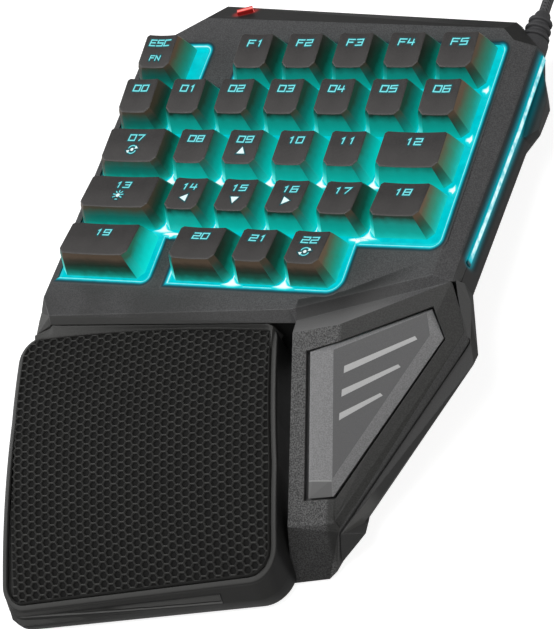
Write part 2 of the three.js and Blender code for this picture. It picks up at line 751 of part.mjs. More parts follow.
const [reliefX, reliefY] = reliefShares.map((share) => share * keyPitch);
const reliefAxis = new THREE.Vector3(0, 1, 0);
const reliefOrigin = new THREE.Vector3(reliefX, reliefY, reliefLevel);
const reliefLength = reliefLengthShare * keyPitch;

function reliefHole() {
  return along(reliefAxis, reliefOrigin, circle(reliefRoot + clearance, 16), -overrun, reliefLength);
}

function stripBar(margin, reach) {
  const outer = placed(stripShares);
  outer[0].y += margin;
  outer.at(-1).y -= margin;
  const inner = outer.map((p) => new THREE.Vector3(p.x - stripDepth - margin, p.y, 0)).reverse();
  const outline = [...outer.map((p) => new THREE.Vector3(p.x + reach, p.y, 0)), ...inner];
  const middle = seamLevel - clearance / 2;
  return prism(outline, middle - stripHeight / 2 - margin, middle + stripHeight / 2 + margin);
}

function lensBar(margin) {
  const [from, to] = placed(lensShares);
  const axis = to.clone().sub(from);
  const half = axis.length() / 2 + margin;
  const middle = from.clone().add(to).multiplyScalar(0.5);
  const size = rectangle(lensWidth + 2 * margin, lensDepth + 2 * margin);
  return along(axis, middle, size, -half, half, new THREE.Vector3(axis.y, -axis.x, 0));
}

const screwSpots = placed(screwShares);
const bossRadius = screwShank + clearance + bossWall;

function screwAt(spot, grow) {
  const headTop = aboveDesk(screwSink)(spot) + screwHeadHeight;
  const headBottom = grow > 0 ? headTop - screwHeadHeight - 2 * screwSink : headTop - screwHeadHeight;
  const tip = deckTop - screwReach;
  return roundBar(screwHead + grow, headBottom, headTop + grow, 12, spot.x, spot.y)
    .add(roundBar(screwShank + grow, headTop - overrun / 2, tip + grow, 12, spot.x, spot.y));
}

// Shells

function topShell() {
  const seam = placed(seamShares);
  const bevel = placed(bevelFootShares);
  const block = solid(lofted([ringAt(seam, seamLevel), bevel, ringAt(deckEdge, deckTop)]));
  const cavity = solid(lofted([
    ringAt(shifted(seam, -shellWall), -2 * deckHeight),
    ringAt(shifted(seam, -shellWall), seamLevel),
    shifted(bevel, -shellWall).map((p) => p.setZ(p.z - roofDrop)),
    ringAt(shifted(deckEdge, -shellWall), deckTop - deckThickness),
  ]));
  const bossTop = deckTop - deckThickness + clearance;
  const bosses = screwSpots.map(({ x, y }) => roundBar(bossRadius, seamLevel, bossTop, 12, x, y));
  const recessOutline = onThumbPlane(recess);
  return block.add(hull(moduleTop))
    .subtract(cavity).subtract(moduleHollow())
    .subtract(prism(wellOutline(0), deckTop - deckThickness - overrun, overrun))
    .add(joined(bosses))
    .subtract(thumbBar(recessOutline, -thumbFlangeDepth * 2, thumbFlangeDepth))
    .subtract(stripBar(clearance, stripDepth))
    .subtract(lensBar(clearance))
    .subtract(reliefHole())
    .subtract(joined(screwSpots.map((spot) => screwAt(spot, clearance))));
}

function lowerBody() {
  const block = solid(lofted([
    ringAt(placed(baseShares), aboveDesk(baseLift)),
    ringAt(placed(flankShares), flankLevel),
    ringAt(placed(seamShares), seamLevel - clearance),
  ]));
  return block.add(hull(placed(bumpShares))).add(hull(moduleLower)).add(hull(placed(earShares)));
}

// Solid seats that carry the feet, from the underside up into the floor above each foot
function bodyFootSeats() {
  const levels = moduleLower.map((p) => p.clone().applyMatrix4(deckMatrix).z);
  const top = Math.max(Math.min(...levels), baseLift) + floorThickness;
  return placed(bodyFootShares).map(({ x, y }) => (
    roundBar(footRadius + shellWall, baseLift, top, 16, x, y).transform(deskToDeck.elements)
  ));
}

function lowerHollow() {
  const block = solid(lofted([
    ringAt(shifted(placed(baseShares), -shellWall), aboveDesk(baseLift + floorThickness)),
    ringAt(shifted(placed(flankShares), -shellWall), flankLevel),
    ringAt(shifted(placed(seamShares), -shellWall), seamLevel - clearance),
    ringAt(shifted(placed(seamShares), -shellWall), seamLevel + overrun),
  ]));
  const floor = aboveDesk(baseLift + floorThickness);
  const aboveFloor = prism(rectangle(4 * palmRun, 6 * palmRun), floor, overrun);
  return block.add(hull(grown(moduleLower, -shellWall))).add(moduleHollow().intersect(aboveFloor));
}

function lowerSupports() {
  const [ribLeft, ribRight] = ribSpanShares;
  const ribs = ribShares.map((share) => {
    const [front, back] = [share - ribHalfShare, share + ribHalfShare];
    const outline = placed([[ribLeft, front], [ribRight, front], [ribRight, back], [ribLeft, back]]);
    return prism(outline, 2 * controllerLevel, backplateBottom - clearance);
  });
  const postTop = controllerLevel - controllerThickness - clearance;
  const posts = placed(boardPostShares).map(({ x, y }) => (
    roundBar(screwHead, 2 * controllerLevel, postTop, 8, x, y)
  ));
  const bossTop = seamLevel - 2 * clearance;
  const bosses = screwSpots.map(({ x, y }) => roundBar(bossFoot, 2 * controllerLevel, bossTop, 12, x, y));
  const boardFoot = switchBottom - 2 * clearance - switchBoardThickness;
  const switchPosts = switchPostShares.map(([x, y]) => thumbBar(
    circle(switchPost, 8, x * switchBoard, y * switchBoard), boardFoot - deckHeight, boardFoot));
  return joined([...ribs, ...posts, ...bosses, ...switchPosts]);
}

function bottomShell() {
  const outer = lowerBody();
  const moduleSpace = hull(thickened(moduleTop, 1.7 * clearance));
  return outer.subtract(lowerHollow())
    .add(lowerSupports().intersect(outer))
    .add(joined(bodyFootSeats()))
    .subtract(moduleSpace).subtract(buttonSpace())
    .subtract(stripBar(clearance, stripDepth))
    .subtract(reliefHole())
    .subtract(joined(screwSpots.map((spot) => screwAt(spot, clearance))))
    .subtract(joined(tongues(clearance)))
    .subtract(joined(bodyFeet(clearance)));
}

// Palm rest, feet and their seats, built in the desk's frame

function palmHeight(p) {
  const [origin] = placed([palmOriginShares]);
  const run = ((p.x - origin.x) * Math.sin(palmTurn) - (p.y - origin.y) * Math.cos(palmTurn)) / palmRun;
  return palmBackHeight - palmDrop * (palmSlopeShare * run + (1 - palmSlopeShare) * run * run);
}

// A curved sheet of space that follows the palm surface, from one depth below it to another
function palmSlab(low, high) {
  const [origin] = placed([palmOriginShares]);
  const ahead = new THREE.Vector3(Math.sin(palmTurn), -Math.cos(palmTurn), 0);
  const samples = Array.from({ length: 15 }, (_, i) => (i / 11 - 0.15) * palmRun);
  const upper = samples.map((s) => {
    const height = palmHeight(origin.clone().addScaledVector(ahead, s));
    return new THREE.Vector2(s, height + high);
  });
  const lower = samples.map((s) => {
    const height = palmHeight(origin.clone().addScaledVector(ahead, s));
    return new THREE.Vector2(s, height + low);
  }).reverse();
  const depth = 3 * palmRun;
  const shape = new THREE.Shape([...upper, ...lower]);
  const geometry = new THREE.ExtrudeGeometry(shape, { depth, bevelEnabled: false });
  const up = new THREE.Vector3(0, 0, 1);
  geometry.translate(0, 0, -depth / 2);
  const matrix = new THREE.Matrix4().makeBasis(ahead, up, ahead.clone().cross(up));
  return solid(geometry, matrix.setPosition(origin));
}

// The palm rest's outline moved out by a distance, with its back edge moved by some more
function palmOutline(distance, backMore = 0) {
  const radii = palmCornerShares.map((share) => share * keyPitch + distance);
  const corners = shifted(placed(palmShares), distance);
  for (const i of palmBackEdge) corners[i].y += backMore;
  return rounded(corners, radii);
}

function tongues(margin) {
  const back = new THREE.Vector3(-Math.sin(palmSlideTurn), Math.cos(palmSlideTurn), 0);
  const matrix = deskToDeck;
  return placed(tongueShares).map((start) => {
    start.z = tongueLift + tongueThickness / 2;
    const section = rectangle(tongueWidth + 2 * margin, tongueThickness + 2 * margin);
    const bar = along(back, start, section, 0, tongueLength + margin);
    return margin > 0 ? bar.transform(matrix.elements) : bar;
  });
}

function foot(place, margin) {
  const low = margin > 0 ? -overrun : 0;
  return roundBar(footRadius + margin, low, footHeight + margin, 16, place.x, place.y);
}

function bodyFeet(margin) {
  return placed(bodyFootShares).map((place) => foot(place, margin).transform(deskToDeck.elements));
}

function palmBase() {
  const edge = stepped(palmOutline(0), palmStep);
  const [left, right] = [Math.min(...edge.map((p) => p.x)), Math.max(...edge.map((p) => p.x))];
  const lean = (points) => points.map((p) => {
    const tuck = palmTuckWidth * (p.x - left) / (right - left);
    return new THREE.Vector3(p.x - tuck, p.y - palmLeanLength, 0);
  });
  const inset = (distance) => shifted(edge, -distance);
  const body = solid(lofted([
    ringAt(lean(inset(palmFootRound)), palmLift),
    ringAt(lean(edge), palmSkirtHeight),
    ringAt(edge, (p) => palmHeight(p) - palmRim - palmRimRound),
    ringAt(inset(palmRimRound), (p) => palmHeight(p) - palmRim),
    ringAt(inset(palmRimWidth), (p) => palmHeight(p) - palmRim),
  ], 'fan'));
  const seatOutline = palmOutline(-palmRimWidth + clearance, palmRimWidth - palmBackRim);
  const seat = palmSlab(-palmPadThickness - clearance, palmDrop)
    .intersect(prism(seatOutline, 0, 2 * palmBackHeight));
  const columns = placed(palmFootShares).map(({ x, y }) => (
    roundBar(footRadius + palmWall, 0, palmBackHeight, 16, x, y)
  ));
  const hollow = palmSlab(-2 * palmBackHeight, -palmPadThickness - palmSkin)
    .intersect(prism(lean(palmOutline(-palmWall - palmLeanLength / 2)), -overrun, palmBackHeight))
    .subtract(joined(columns));
  const [from, to] = placed(grooveShares);
  from.z = to.z = palmSkirtHeight;
  const run = to.clone().sub(from);
  const groove = along(run, from, rectangle(2 * grooveDepth, grooveHeight), 0, run.length(),
    new THREE.Vector3(run.y, -run.x, 0));
  return body.subtract(seat).subtract(hollow).subtract(groove)
    .add(joined(tongues(0)))
    .subtract(joined(placed(palmFootShares).map((place) => foot(place, clearance))));
}

function palmPad() {
  const outline = palmOutline(-palmRimWidth, palmRimWidth - palmBackRim);
  return palmSlab(-palmPadThickness, 0).intersect(prism(outline, 0, 2 * palmBackHeight));
}

// Strain relief, cord and plug

function strainRelief() {
  const radiusAt = (share) => THREE.MathUtils.lerp(reliefRoot, reliefTip, share);
  const levels = [[0, reliefRoot]];
  levels.push([reliefRibShares[0] - 2 * reliefRibWidth / reliefLength, reliefRoot]);
  for (const share of reliefRibShares) {
    const half = reliefRibWidth / 2 / reliefLength;
    levels.push([share - half, radiusAt(share) - reliefRib / 2]);
    levels.push([share - half, radiusAt(share) + reliefRib / 2]);
    levels.push([share + half, radiusAt(share) + reliefRib / 2]);
    levels.push([share + half, radiusAt(share) - reliefRib / 2]);
  }
  levels.push([1, reliefTip - reliefRib]);
  const rings = levels.map(([share, radius]) => ringAt(circle(radius, 12), share * reliefLength));
  const w = reliefAxis;
  const u = new THREE.Vector3(1, 0, 0);
  const matrix = new THREE.Matrix4().makeBasis(u, w.clone().cross(u), w);
  return solid(lofted(rings), matrix.setPosition(reliefOrigin));
}

function coilLine() {
  const [centre] = placed([coilCentreShares]);
  const floor = cordDiameter / 2 + coilLift;
  const steps = (coilLoops + 1.5 + coilOutLoops) * coilStepsPerLoop;
  return Array.from({ length: Math.round(steps) + 1 }, (_, i) => {
    const turn = i / coilStepsPerLoop;
    const passIn = THREE.MathUtils.clamp((turn - coilLoops) / 0.5, 0, 1);
    const climb = THREE.MathUtils.clamp((turn - coilLoops - 0.5) / 0.5, 0, 1);
    const passOut = THREE.MathUtils.clamp((turn - coilLoops - 1) / 0.5, 0, 1);
    const inward = Math.max(coilLoops - turn, 0);
    const outward = Math.max(turn - coilLoops - 1.5, 0);
    const radius = coilInner + coilPassWidth * (1 - passIn + passOut) + coilStep * (inward + outward);
    const angle = 2 * Math.PI * turn;
    return new THREE.Vector3(
      centre.x + radius * Math.cos(angle),
      centre.y + radius * Math.sin(angle),
      floor + coilStep * (1 - Math.cos(Math.PI * climb)) / 2,
    );
  });
}

// Least gap between the surfaces of two turns that aren't neighbours along the cord
function leastGap(line, diameter) {
  const apart = Math.round(coilStepsPerLoop / 2);
  let least = Infinity;
  const section = new THREE.Line3();
  const nearest = new THREE.Vector3();
  for (let i = 0; i < line.length; i += 1) {
    for (let j = i + apart; j + 1 < line.length; j += 1) {
      section.set(line[j], line[j + 1]);
      section.closestPointToPoint(line[i], true, nearest);
      least = Math.min(least, nearest.distanceTo(line[i]) - diameter);
    }
  }
  return least;
}

// A route with its ends drawn back by the clearance, on a smooth curve
function cordLine(route, steps, startGap, endGap) {
  const curve = new THREE.CatmullRomCurve3(route.map((p) => new THREE.Vector3(...p)));
  const points = curve.getSpacedPoints(steps);
  const backOff = (end, next, gap) => end.clone().addScaledVector(next.clone().sub(end).normalize(), gap);
  points[0] = backOff(points[0], points[1], startGap);
  points[steps] = backOff(points[steps], points[steps - 1], endGap);
  return points;
}

function lengthOf(line) {
  return line.slice(1).reduce((sum, p, i) => sum + p.distanceTo(line[i]), 0);
}

function plugBody(end) {
  const corners = rectangle(plugWidth, plugHeight);
  const section = rounded(corners, corners.map(() => plugRound), 3);
  const rings = plugTaperShares.map(
    ([share, size]) => section.map((p) => new THREE.Vector3(-share * plugLength, p.x * size, p.y * size)),
  );
  return solid(lofted(rings, 'fan'), new THREE.Matrix4().setPosition(end));
}

function plugShell(end) {
  const bar = (width, height, from, to) => {
    const ring = (x) => rectangle(width, height).map((p) => new THREE.Vector3(-x, p.x, p.y));
    return solid(lofted([ring(from), ring(to)], 'ladder'), new THREE.Matrix4().setPosition(end));
  };
  const back = plugLength + clearance;
  const wall = 2 * contactWall;
  const mouth = back + contactLength;
  return bar(contactWidth, contactHeight, back, mouth)
    .subtract(bar(contactWidth - wall, contactHeight - wall, back + contactWall, mouth + overrun))
    .add(bar(contactWidth - 2 * wall, contactHeight / 3, back, mouth - wall));
}

// Assembly

for (const { name, width, row, x, y } of keys) {
  addPiece(deckGroup, name, keycap(width, row), finishes.keycap, new THREE.Vector3(x, y, 0));
}
addPiece(deckGroup, 'key_frame', keyFrame(), finishes.frame);
addPiece(deckGroup, 'dome_sheet', domeSheet(), finishes.dome);
const membrane = prism(layerOutline, membraneTop - membraneThickness, membraneTop);
addPiece(deckGroup, 'membrane', membrane, finishes.film);
const ledBoard = prism(layerOutline, ledBoardTop - ledBoardThickness, ledBoardTop);
addPiece(deckGroup, 'led_board', ledBoard, finishes.board);
addPiece(deckGroup, 'backplate', prism(layerOutline, backplateBottom, backplateTop), finishes.steel);
const controller = prism(placed(controllerShares), controllerLevel - controllerThickness, controllerLevel);
addPiece(deckGroup, 'controller_board', controller, finishes.board);
addPiece(deckGroup, 'thumb_button', thumbButton(), finishes.button);
addPiece(deckGroup, 'thumb_switch', thumbSwitch(), finishes.rubber);
addPiece(deckGroup, 'thumb_board', thumbBoard(), finishes.board);
addPiece(deckGroup, 'top_shell', topShell(), finishes.shell);
addPiece(deckGroup, 'bottom_shell', bottomShell(), finishes.lowerShell);
addPiece(deckGroup, 'light_strip_right', stripBar(0, 0), finishes.light);
addPiece(deckGroup, 'indicator_lens', lensBar(0), finishes.red);
addPiece(deckGroup, 'strain_relief', strainRelief(), finishes.rubber);
screwSpots.forEach((spot, i) => {
  addPiece(deckGroup, `screw_${i + 1}`, screwAt(spot, 0), finishes.steel);
});
addPiece(deskGroup, 'palm_rest_base', palmBase(), finishes.lowerShell);
addPiece(deskGroup, 'palm_pad', palmPad(), finishes.rubber);
[...placed(bodyFootShares), ...placed(palmFootShares)].forEach((place, i) => {
  addPiece(deskGroup, `foot_${i + 1}`, foot(place, 0), finishes.rubber);
});

const coil = coilLine();
const lead = cordLine(leadRoute, 18, clearance, clearance);
const tail = cordLine(tailRoute, 14, clearance, clearance);
const plugPlace = new THREE.Vector3(...tailRoute.at(-1));
addPiece(deskGroup, 'cable_lead', solid(tubeAlong(lead, cordDiameter / 2, 8)), finishes.cord);
addPiece(deskGroup, 'cable_coil', solid(tubeAlong(coil, cordDiameter / 2, 6)), finishes.cord);
addPiece(deskGroup, 'cable_tail', solid(tubeAlong(tail, cordDiameter / 2, 8)), finishes.cord);
addPiece(deskGroup, 'usb_plug_body', plugBody(plugPlace), finishes.rubber);
addPiece(deskGroup, 'usb_plug_shell', plugShell(plugPlace), finishes.steel);
console.log(`coil: least gap ${leastGap(coil, cordDiameter).toFixed(2)} mm`);
console.log(`cord length ${(lengthOf(lead) + lengthOf(coil) + lengthOf(tail)).toFixed(0)} mm`);

// The origin lies at the bottom centre of the keypad's own box, the free cord left out
root.updateMatrixWorld(true);
const box = new THREE.Box3();
root.traverse((node) => {
  if (node.isMesh && !node.name.startsWith('cable_') && !node.name.startsWith('usb_')) {
    box.expandByObject(node, true);
  }
});
const shift = box.getCenter(new THREE.Vector3()).setZ(box.min.z).negate();
deckGroup.position.add(shift);
deskGroup.position.add(shift);
const size = box.getSize(new THREE.Vector3());
console.log(`shift ${shift.toArray().map((v) => v.toFixed(3))}, size ${size.toArray().map((v) => v.toFixed(1))}`);

export default root;
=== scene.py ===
# Gaming keypad: the looks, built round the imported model. Metres, +Z up, in the CAD's own frame.
import math

import bpy
from mathutils import Matrix, Vector


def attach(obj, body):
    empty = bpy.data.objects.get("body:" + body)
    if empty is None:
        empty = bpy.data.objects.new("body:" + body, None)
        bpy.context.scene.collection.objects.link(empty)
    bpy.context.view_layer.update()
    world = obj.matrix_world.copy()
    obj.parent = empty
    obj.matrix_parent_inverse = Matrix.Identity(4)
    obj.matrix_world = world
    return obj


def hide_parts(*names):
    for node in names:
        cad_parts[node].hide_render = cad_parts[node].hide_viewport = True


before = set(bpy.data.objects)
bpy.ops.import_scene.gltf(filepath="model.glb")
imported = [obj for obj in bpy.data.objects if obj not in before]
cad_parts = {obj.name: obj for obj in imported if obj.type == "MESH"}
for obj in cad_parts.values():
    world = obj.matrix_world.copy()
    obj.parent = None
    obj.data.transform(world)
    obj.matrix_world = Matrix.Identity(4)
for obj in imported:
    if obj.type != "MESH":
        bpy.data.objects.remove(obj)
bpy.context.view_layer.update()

# Sizes in millimetres, as in the CAD source
MM = 0.001
PITCH = 19.05
DECK_HEIGHT = 31.5
DECK_LEAN = math.radians(7)
SHIFT = Vector((-68.687, 91.566, 0.0))
BASE = "keypad_base"
PALM = "palm_rest"

DESK_METRES = Matrix.Translation(SHIFT * MM)
DECK_METRES = (Matrix.Translation((SHIFT + Vector((0, 0, DECK_HEIGHT))) * MM)
               @ Matrix.Rotation(-DECK_LEAN, 4, "X"))
DESK = DESK_METRES @ Matrix.Scale(MM, 4)
DECK = DECK_METRES @ Matrix.Scale(MM, 4)
scene = bpy.context.scene


# Camera, as fitted to the photograph: axes and place in the deck's frame, focal length in its pixels

CAMERA_RIGHT = Vector((0.854813, 0.308602, -0.417204))
CAMERA_FORWARD = Vector((-0.516708, 0.431733, -0.739337))
CAMERA_PLACE = Vector((492.5485, -443.101, 579.4312))
FOCAL_LENGTH = 2525.03
PHOTO_HEIGHT = 629
SENSOR_WIDTH = 36


def pitches(*points):
    """Points given in key pitches, in millimetres."""
    return [tuple(c * PITCH for c in point) for point in points]


def put_in_scene(name, data):
    piece = bpy.data.objects.new(name, data)
    scene.collection.objects.link(piece)
    return piece


def make_camera():
    right = CAMERA_RIGHT.normalized()
    forward = (CAMERA_FORWARD - right * CAMERA_FORWARD.dot(right)).normalized()
    turn = Matrix((right, right.cross(forward), -forward)).transposed().to_4x4()
    data = bpy.data.cameras.new("camera")
    data.sensor_fit = "AUTO"
    data.sensor_width = SENSOR_WIDTH
    data.lens = FOCAL_LENGTH * SENSOR_WIDTH / PHOTO_HEIGHT
    data.clip_start, data.clip_end = 0.05, 30
    scene.camera = put_in_scene("camera", data)
    scene.camera.matrix_world = DECK_METRES @ Matrix.Translation(CAMERA_PLACE * MM) @ turn


make_camera()


# Shaders

def rgb(red, green=None, blue=None):
    """A colour given as it looks on the screen, 0 to 255, in linear light. One number gives a grey."""
    def linear(v):
        v = v / 255
        return v / 12.92 if v <= 0.04045 else ((v + 0.055) / 1.055) ** 2.4
    shades = (red, red, red) if green is None else (red, green, blue)
    return (*map(linear, shades), 1.0)


def scaled(color, gain):
    """A colour made lighter or darker."""
    return tuple(min(1, c * gain) for c in color[:3]) + (1,)


def operation(name, swapped=False):
    """A method of Value that makes one math node."""
    def method(self, other=0.0):
        return self.shader.math(name, *((other, self) if swapped else (self, other)))
    return method


class Value:
    """What a node gives out. Sums with values make the nodes that work them out."""

    def __init__(self, shader, socket):
        self.shader, self.socket = shader, socket

    __add__ = __radd__ = operation("ADD")
    __sub__ = operation("SUBTRACT")
    __rsub__ = operation("SUBTRACT", swapped=True)
    __mul__ = __rmul__ = operation("MULTIPLY")
    __pow__ = operation("POWER")
    __abs__ = operation("ABSOLUTE")
    root = operation("SQRT")
    least = operation("MINIMUM")
    most = operation("MAXIMUM")


class Shader:
    """A node material built up step by step."""

    def __init__(self, name):
        self.material = bpy.data.materials.new(name)
        self.material.use_nodes = True
        self.tree = self.material.node_tree
        self.tree.nodes.clear()
        out = self.node("OutputMaterial")
        self.bsdf = self.node("BsdfPrincipled")
        self.tree.links.new(self.bsdf.outputs[0], out.inputs["Surface"])

    def node(self, kind, *values, **settings):
        """A new node. Values go to its inputs in order, a capitalised setting to the input of its name."""
        made = self.tree.nodes.new("ShaderNode" + kind)
        for name, value in settings.items():
            if name[0].isupper():
                self.put(made.inputs[name], value)
            else:
                setattr(made, name, value)
        for socket, value in zip(made.inputs, values):
            self.put(socket, value)
        return made

    def put(self, socket, value):
        if isinstance(value, Value):
            self.tree.links.new(value.socket, socket)
        else:
            socket.default_value = value

    def result(self, made, key=0):
        return Value(self, made.outputs[key])

    def coat(self, color=None, rough=None, normal=None, specular=None, glow=None, strength=None,
             metallic=None):
        """Sets what is given of the surface and returns the material."""
        for name, value in (("Base Color", color), ("Roughness", rough), ("Normal", normal),
                            ("Specular IOR Level", specular), ("Emission Color", glow),
                            ("Emission Strength", strength), ("Metallic", metallic)):
            if value is not None:
                self.put(self.bsdf.inputs[name], value)
        return self.material

    def math(self, operation, a, b=0.0, clamp=False):
        return self.result(self.node("Math", a, b, operation=operation, use_clamp=clamp))

    def place(self):
        return self.result(self.node("TexCoord"), "Object")

    def deck_place(self):
        """Millimetres across, along and above the deck, for a piece whose points are in the row's frame."""
        place, turn, size = DECK.inverted().decompose()
        made = self.node("Mapping", Vector=self.place(), Location=place, Rotation=turn.to_euler(), Scale=size)
        return self.split(self.result(made))

    def split(self, vector):
        return [Value(self, socket) for socket in self.node("SeparateXYZ", vector).outputs]

    def noise(self, size, detail=2.0, vector=None):
        """Noise with features of about the given size in millimetres."""
        made = self.node("TexNoise", Vector=vector or self.place(), Scale=1 / (size * MM), Detail=detail)
        return self.result(made, "Fac")

    def mix(self, share, a, b):
        made = self.node("Mix", share, data_type="RGBA")
        self.put(made.inputs[6], a)
        self.put(made.inputs[7], b)
        return self.result(made, 2)

    def paint(self, share, color):
        """Lays a colour over the shade so far."""
        self.shade = self.mix(share, self.shade, color)

    def fit(self, value, low, high, to_low=0.0, to_high=1.0):
        return self.result(self.node("MapRange", value, low, high, to_low, to_high,
                                     interpolation_type="SMOOTHSTEP"))

    def span(self, value, low, high):
        """From 0 to 1 between two places given in key pitches."""
        return self.fit(value, low * PITCH, high * PITCH)

    def ramp(self, value, *stops):
        """A run of colours, each stop a place from 0 to 1 and its colour as rgb takes it."""
        made = self.node("ValToRGB", value)
        marks = made.color_ramp.elements
        while len(marks) < len(stops):
            marks.new(0.5)
        for mark, (place, *color) in zip(marks, stops):
            mark.position = place
            mark.color = rgb(*color)
        return self.result(made)

    def normal(self):
        return self.result(self.node("NewGeometry"), "Normal")

    def dot(self, a, b):
        return self.result(self.node("VectorMath", a, b, operation="DOT_PRODUCT"), "Value")

    def facing(self, *direction):
        """How squarely the surface faces a direction of the row's own frame."""
        return self.dot(self.normal(), direction)

    def attribute(self, name):
        return self.result(self.node("Attribute", attribute_name=name), "Fac")

    def bump(self, height, strength, depth, normal=None):
        made = self.node("Bump", Height=height, Strength=strength, Distance=depth * MM)
        if normal is not None:
            self.put(made.inputs["Normal"], normal)
        return self.result(made)

    def rounded(self, radius):
        return self.result(self.node("Bevel", samples=6, Radius=radius * MM))

    def edges(self, normal, gain):
        """How far a rounded normal turns from the flat one: high along the edges."""
        return self.math("MULTIPLY", 1.0 - self.dot(normal, self.normal()), gain, clamp=True)


def moulded(name, color, rough, grain=0.35, grain_size=0.3, spread=0.06, relief=0.3, edge=None, radius=0.5,
            edge_gain=2.0):
    """Textured moulded plastic: fine grain, slow colour drift, and a painted highlight along the edges in the
    edge colour.
    """
    s = Shader(name)
    fine = s.noise(grain_size, 3.0)
    light = scaled(color, 1 + grain)
    s.shade = s.mix(s.fit(fine, 0.3, 0.7), scaled(color, 1 - grain), light)
    s.paint(s.noise(14) * (spread * 2), light)
    normal = s.rounded(radius)
    # Painted highlight: the edge colour laid along the rounded edges.
    if edge:
        s.paint(s.edges(normal, edge_gain), edge)
    s.coat(s.shade, s.fit(fine, 0.2, 0.8, rough - 0.06, rough + 0.06),
           s.bump(fine, relief, 0.05, normal), 0.3)
    return s


def rubber(name, color, grain_size=0.4, relief=0.4):
    s = Shader(name)
    fine = s.noise(grain_size, 4.0)
    return s.coat(s.mix(fine * s.noise(9), color, scaled(color, 0.75)), s.fit(fine, 0.2, 0.8, 0.6, 0.85),
                  s.bump(fine, relief, 0.05, s.rounded(0.3)))


def brushed(name, color):
    s = Shader(name)
    fine = s.noise(0.15, 3.0, s.result(s.node("Mapping", Vector=s.place(), Scale=(0.05, 1.0, 1.0))))
    return s.coat(s.mix(s.fit(fine, 0.3, 0.7), color, scaled(color, 0.8)), s.fit(fine, 0.2, 0.8, 0.25, 0.45),
                  s.bump(fine, 0.2, 0.03, s.rounded(0.2)), metallic=1.0)


def board(name):
    """Green circuit board with copper tracks under its lacquer."""
    s = Shader(name)
    cells = s.node("TexVoronoi", feature="DISTANCE_TO_EDGE", Vector=s.place(), Scale=250)
    tracks = s.fit(s.result(cells, "Distance"), 0.02, 0.06, 1.0, 0.0)
    return s.coat(s.mix(tracks, (0.01, 0.09, 0.03, 1), (0.03, 0.2, 0.08, 1)), 0.35, s.bump(tracks, 0.4, 0.05))


# Meshes

def new_mesh(name, points, faces, material, sharp=None):
    """A mesh, flat shaded or smooth up to edges of the given angle in degrees."""
    mesh = bpy.data.meshes.new(name)
    mesh.from_pydata(points, [], faces)
    mesh.materials.append(material)
    if sharp is not None:
        mesh.polygons.foreach_set("use_smooth", [True] * len(mesh.polygons))
        mesh.set_sharp_from_angle(angle=math.radians(sharp))
    mesh.update()
    return mesh


def set_values(mesh, name, domain, values):
    mesh.attributes.new(name, "FLOAT", domain).data.foreach_set("value", values)


def add_mesh(name, points, faces, body, material, matrix, glow=None, sharp=None):
    mesh = new_mesh(name, [tuple(matrix @ Vector(p)) for p in points], faces, material, sharp)
    if glow is not None:
        set_values(mesh, "glow", "POINT", glow)
    piece = put_in_scene(name, mesh)
    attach(piece, body)
    return piece


def flat(lists):
    return [item for each in lists for item in each]


def tube(rings, flip=False, start=0):
    """The points of rings that follow each other, and the faces between them, turned over if asked."""
    count = len(rings[0])
    faces = []
    for k in range(start, start + (len(rings) - 1) * count, count):
        for i in range(count):
            a, b = k + i, k + (i + 1) % count
            face = (a, b, b + count, a + count)
            faces.append(face[::-1] if flip else face)
    return flat(rings), faces


def rounding(radius, steps):
    """The steps of a rounded edge, each as how far in and how far down it lies."""
    angles = [math.radians(90 * step / (steps - 1)) for step in range(steps)]
    return [(radius * (1 - math.cos(a)), radius * (1 - math.sin(a))) for a in angles]


def turning(points):
    """1 where a closed outline runs anticlockwise, else -1."""
    area = sum(points[i - 1][0] * p[1] - p[0] * points[i - 1][1] for i, p in enumerate(points))
    return 1 if area > 0 else -1


def shifted(points, distance):
    """A closed outline moved outwards, each edge parallel to itself."""
    turn = turning(points)
    moved = []
    for i, p in enumerate(points):
        before, after = points[i - 1], points[(i + 1) % len(points)]
        n1 = Vector(((p[1] - before[1]) * turn, (before[0] - p[0]) * turn)).normalized()
        n2 = Vector(((after[1] - p[1]) * turn, (p[0] - after[0]) * turn)).normalized()
        step = (n1 + n2) * (distance / (1 + n1.dot(n2)))
        moved.append((p[0] + step.x, p[1] + step.y))
    return moved


def rounded(corners, radii, steps=12):
    """A closed outline with its corners rounded, each by its own radius."""
    points = []
    for i, corner in enumerate(corners):
        if radii[i] <= 0:
            points.append(tuple(corner))
            continue
        c = Vector(corner)
        to_before = (Vector(corners[i - 1]) - c).normalized()
        to_after = (Vector(corners[(i + 1) % len(corners)]) - c).normalized()
        half = to_before.angle(to_after) / 2
        reach = radii[i] / math.tan(half)
        start, end = c + to_before * reach, c + to_after * reach
        centre = c + (to_before + to_after).normalized() * (radii[i] / math.sin(half))
        for k in range(steps + 1):
            spoke = (start - centre).lerp(end - centre, k / steps).normalized()
            points.append(tuple(centre + spoke * radii[i]))
    return points


def circle(cx, cy, radius, sides):
    angles = [2 * math.pi * k / sides for k in range(sides)]
    return [(cx + radius * math.cos(a), cy + radius * math.sin(a)) for a in angles]


def between(a, b, share):
    return tuple(Vector(a).lerp(Vector(b), share))


def subdivided(ring, longest, model):
    """Cuts a ring's edges into as many parts as the model ring's edges need, so rings match."""
    result = []
    for i, p in enumerate(ring):
        after = (i + 1) % len(ring)
        parts = max(1, round(math.dist(model[i], model[after]) / longest))
        result += [between(p, ring[after], k / parts) for k in range(parts)]
    return result


def clamped(value, low=0, high=1):
    return min(max(value, low), high)


# The cord: one smooth line from the strain relief through the coil to the plug

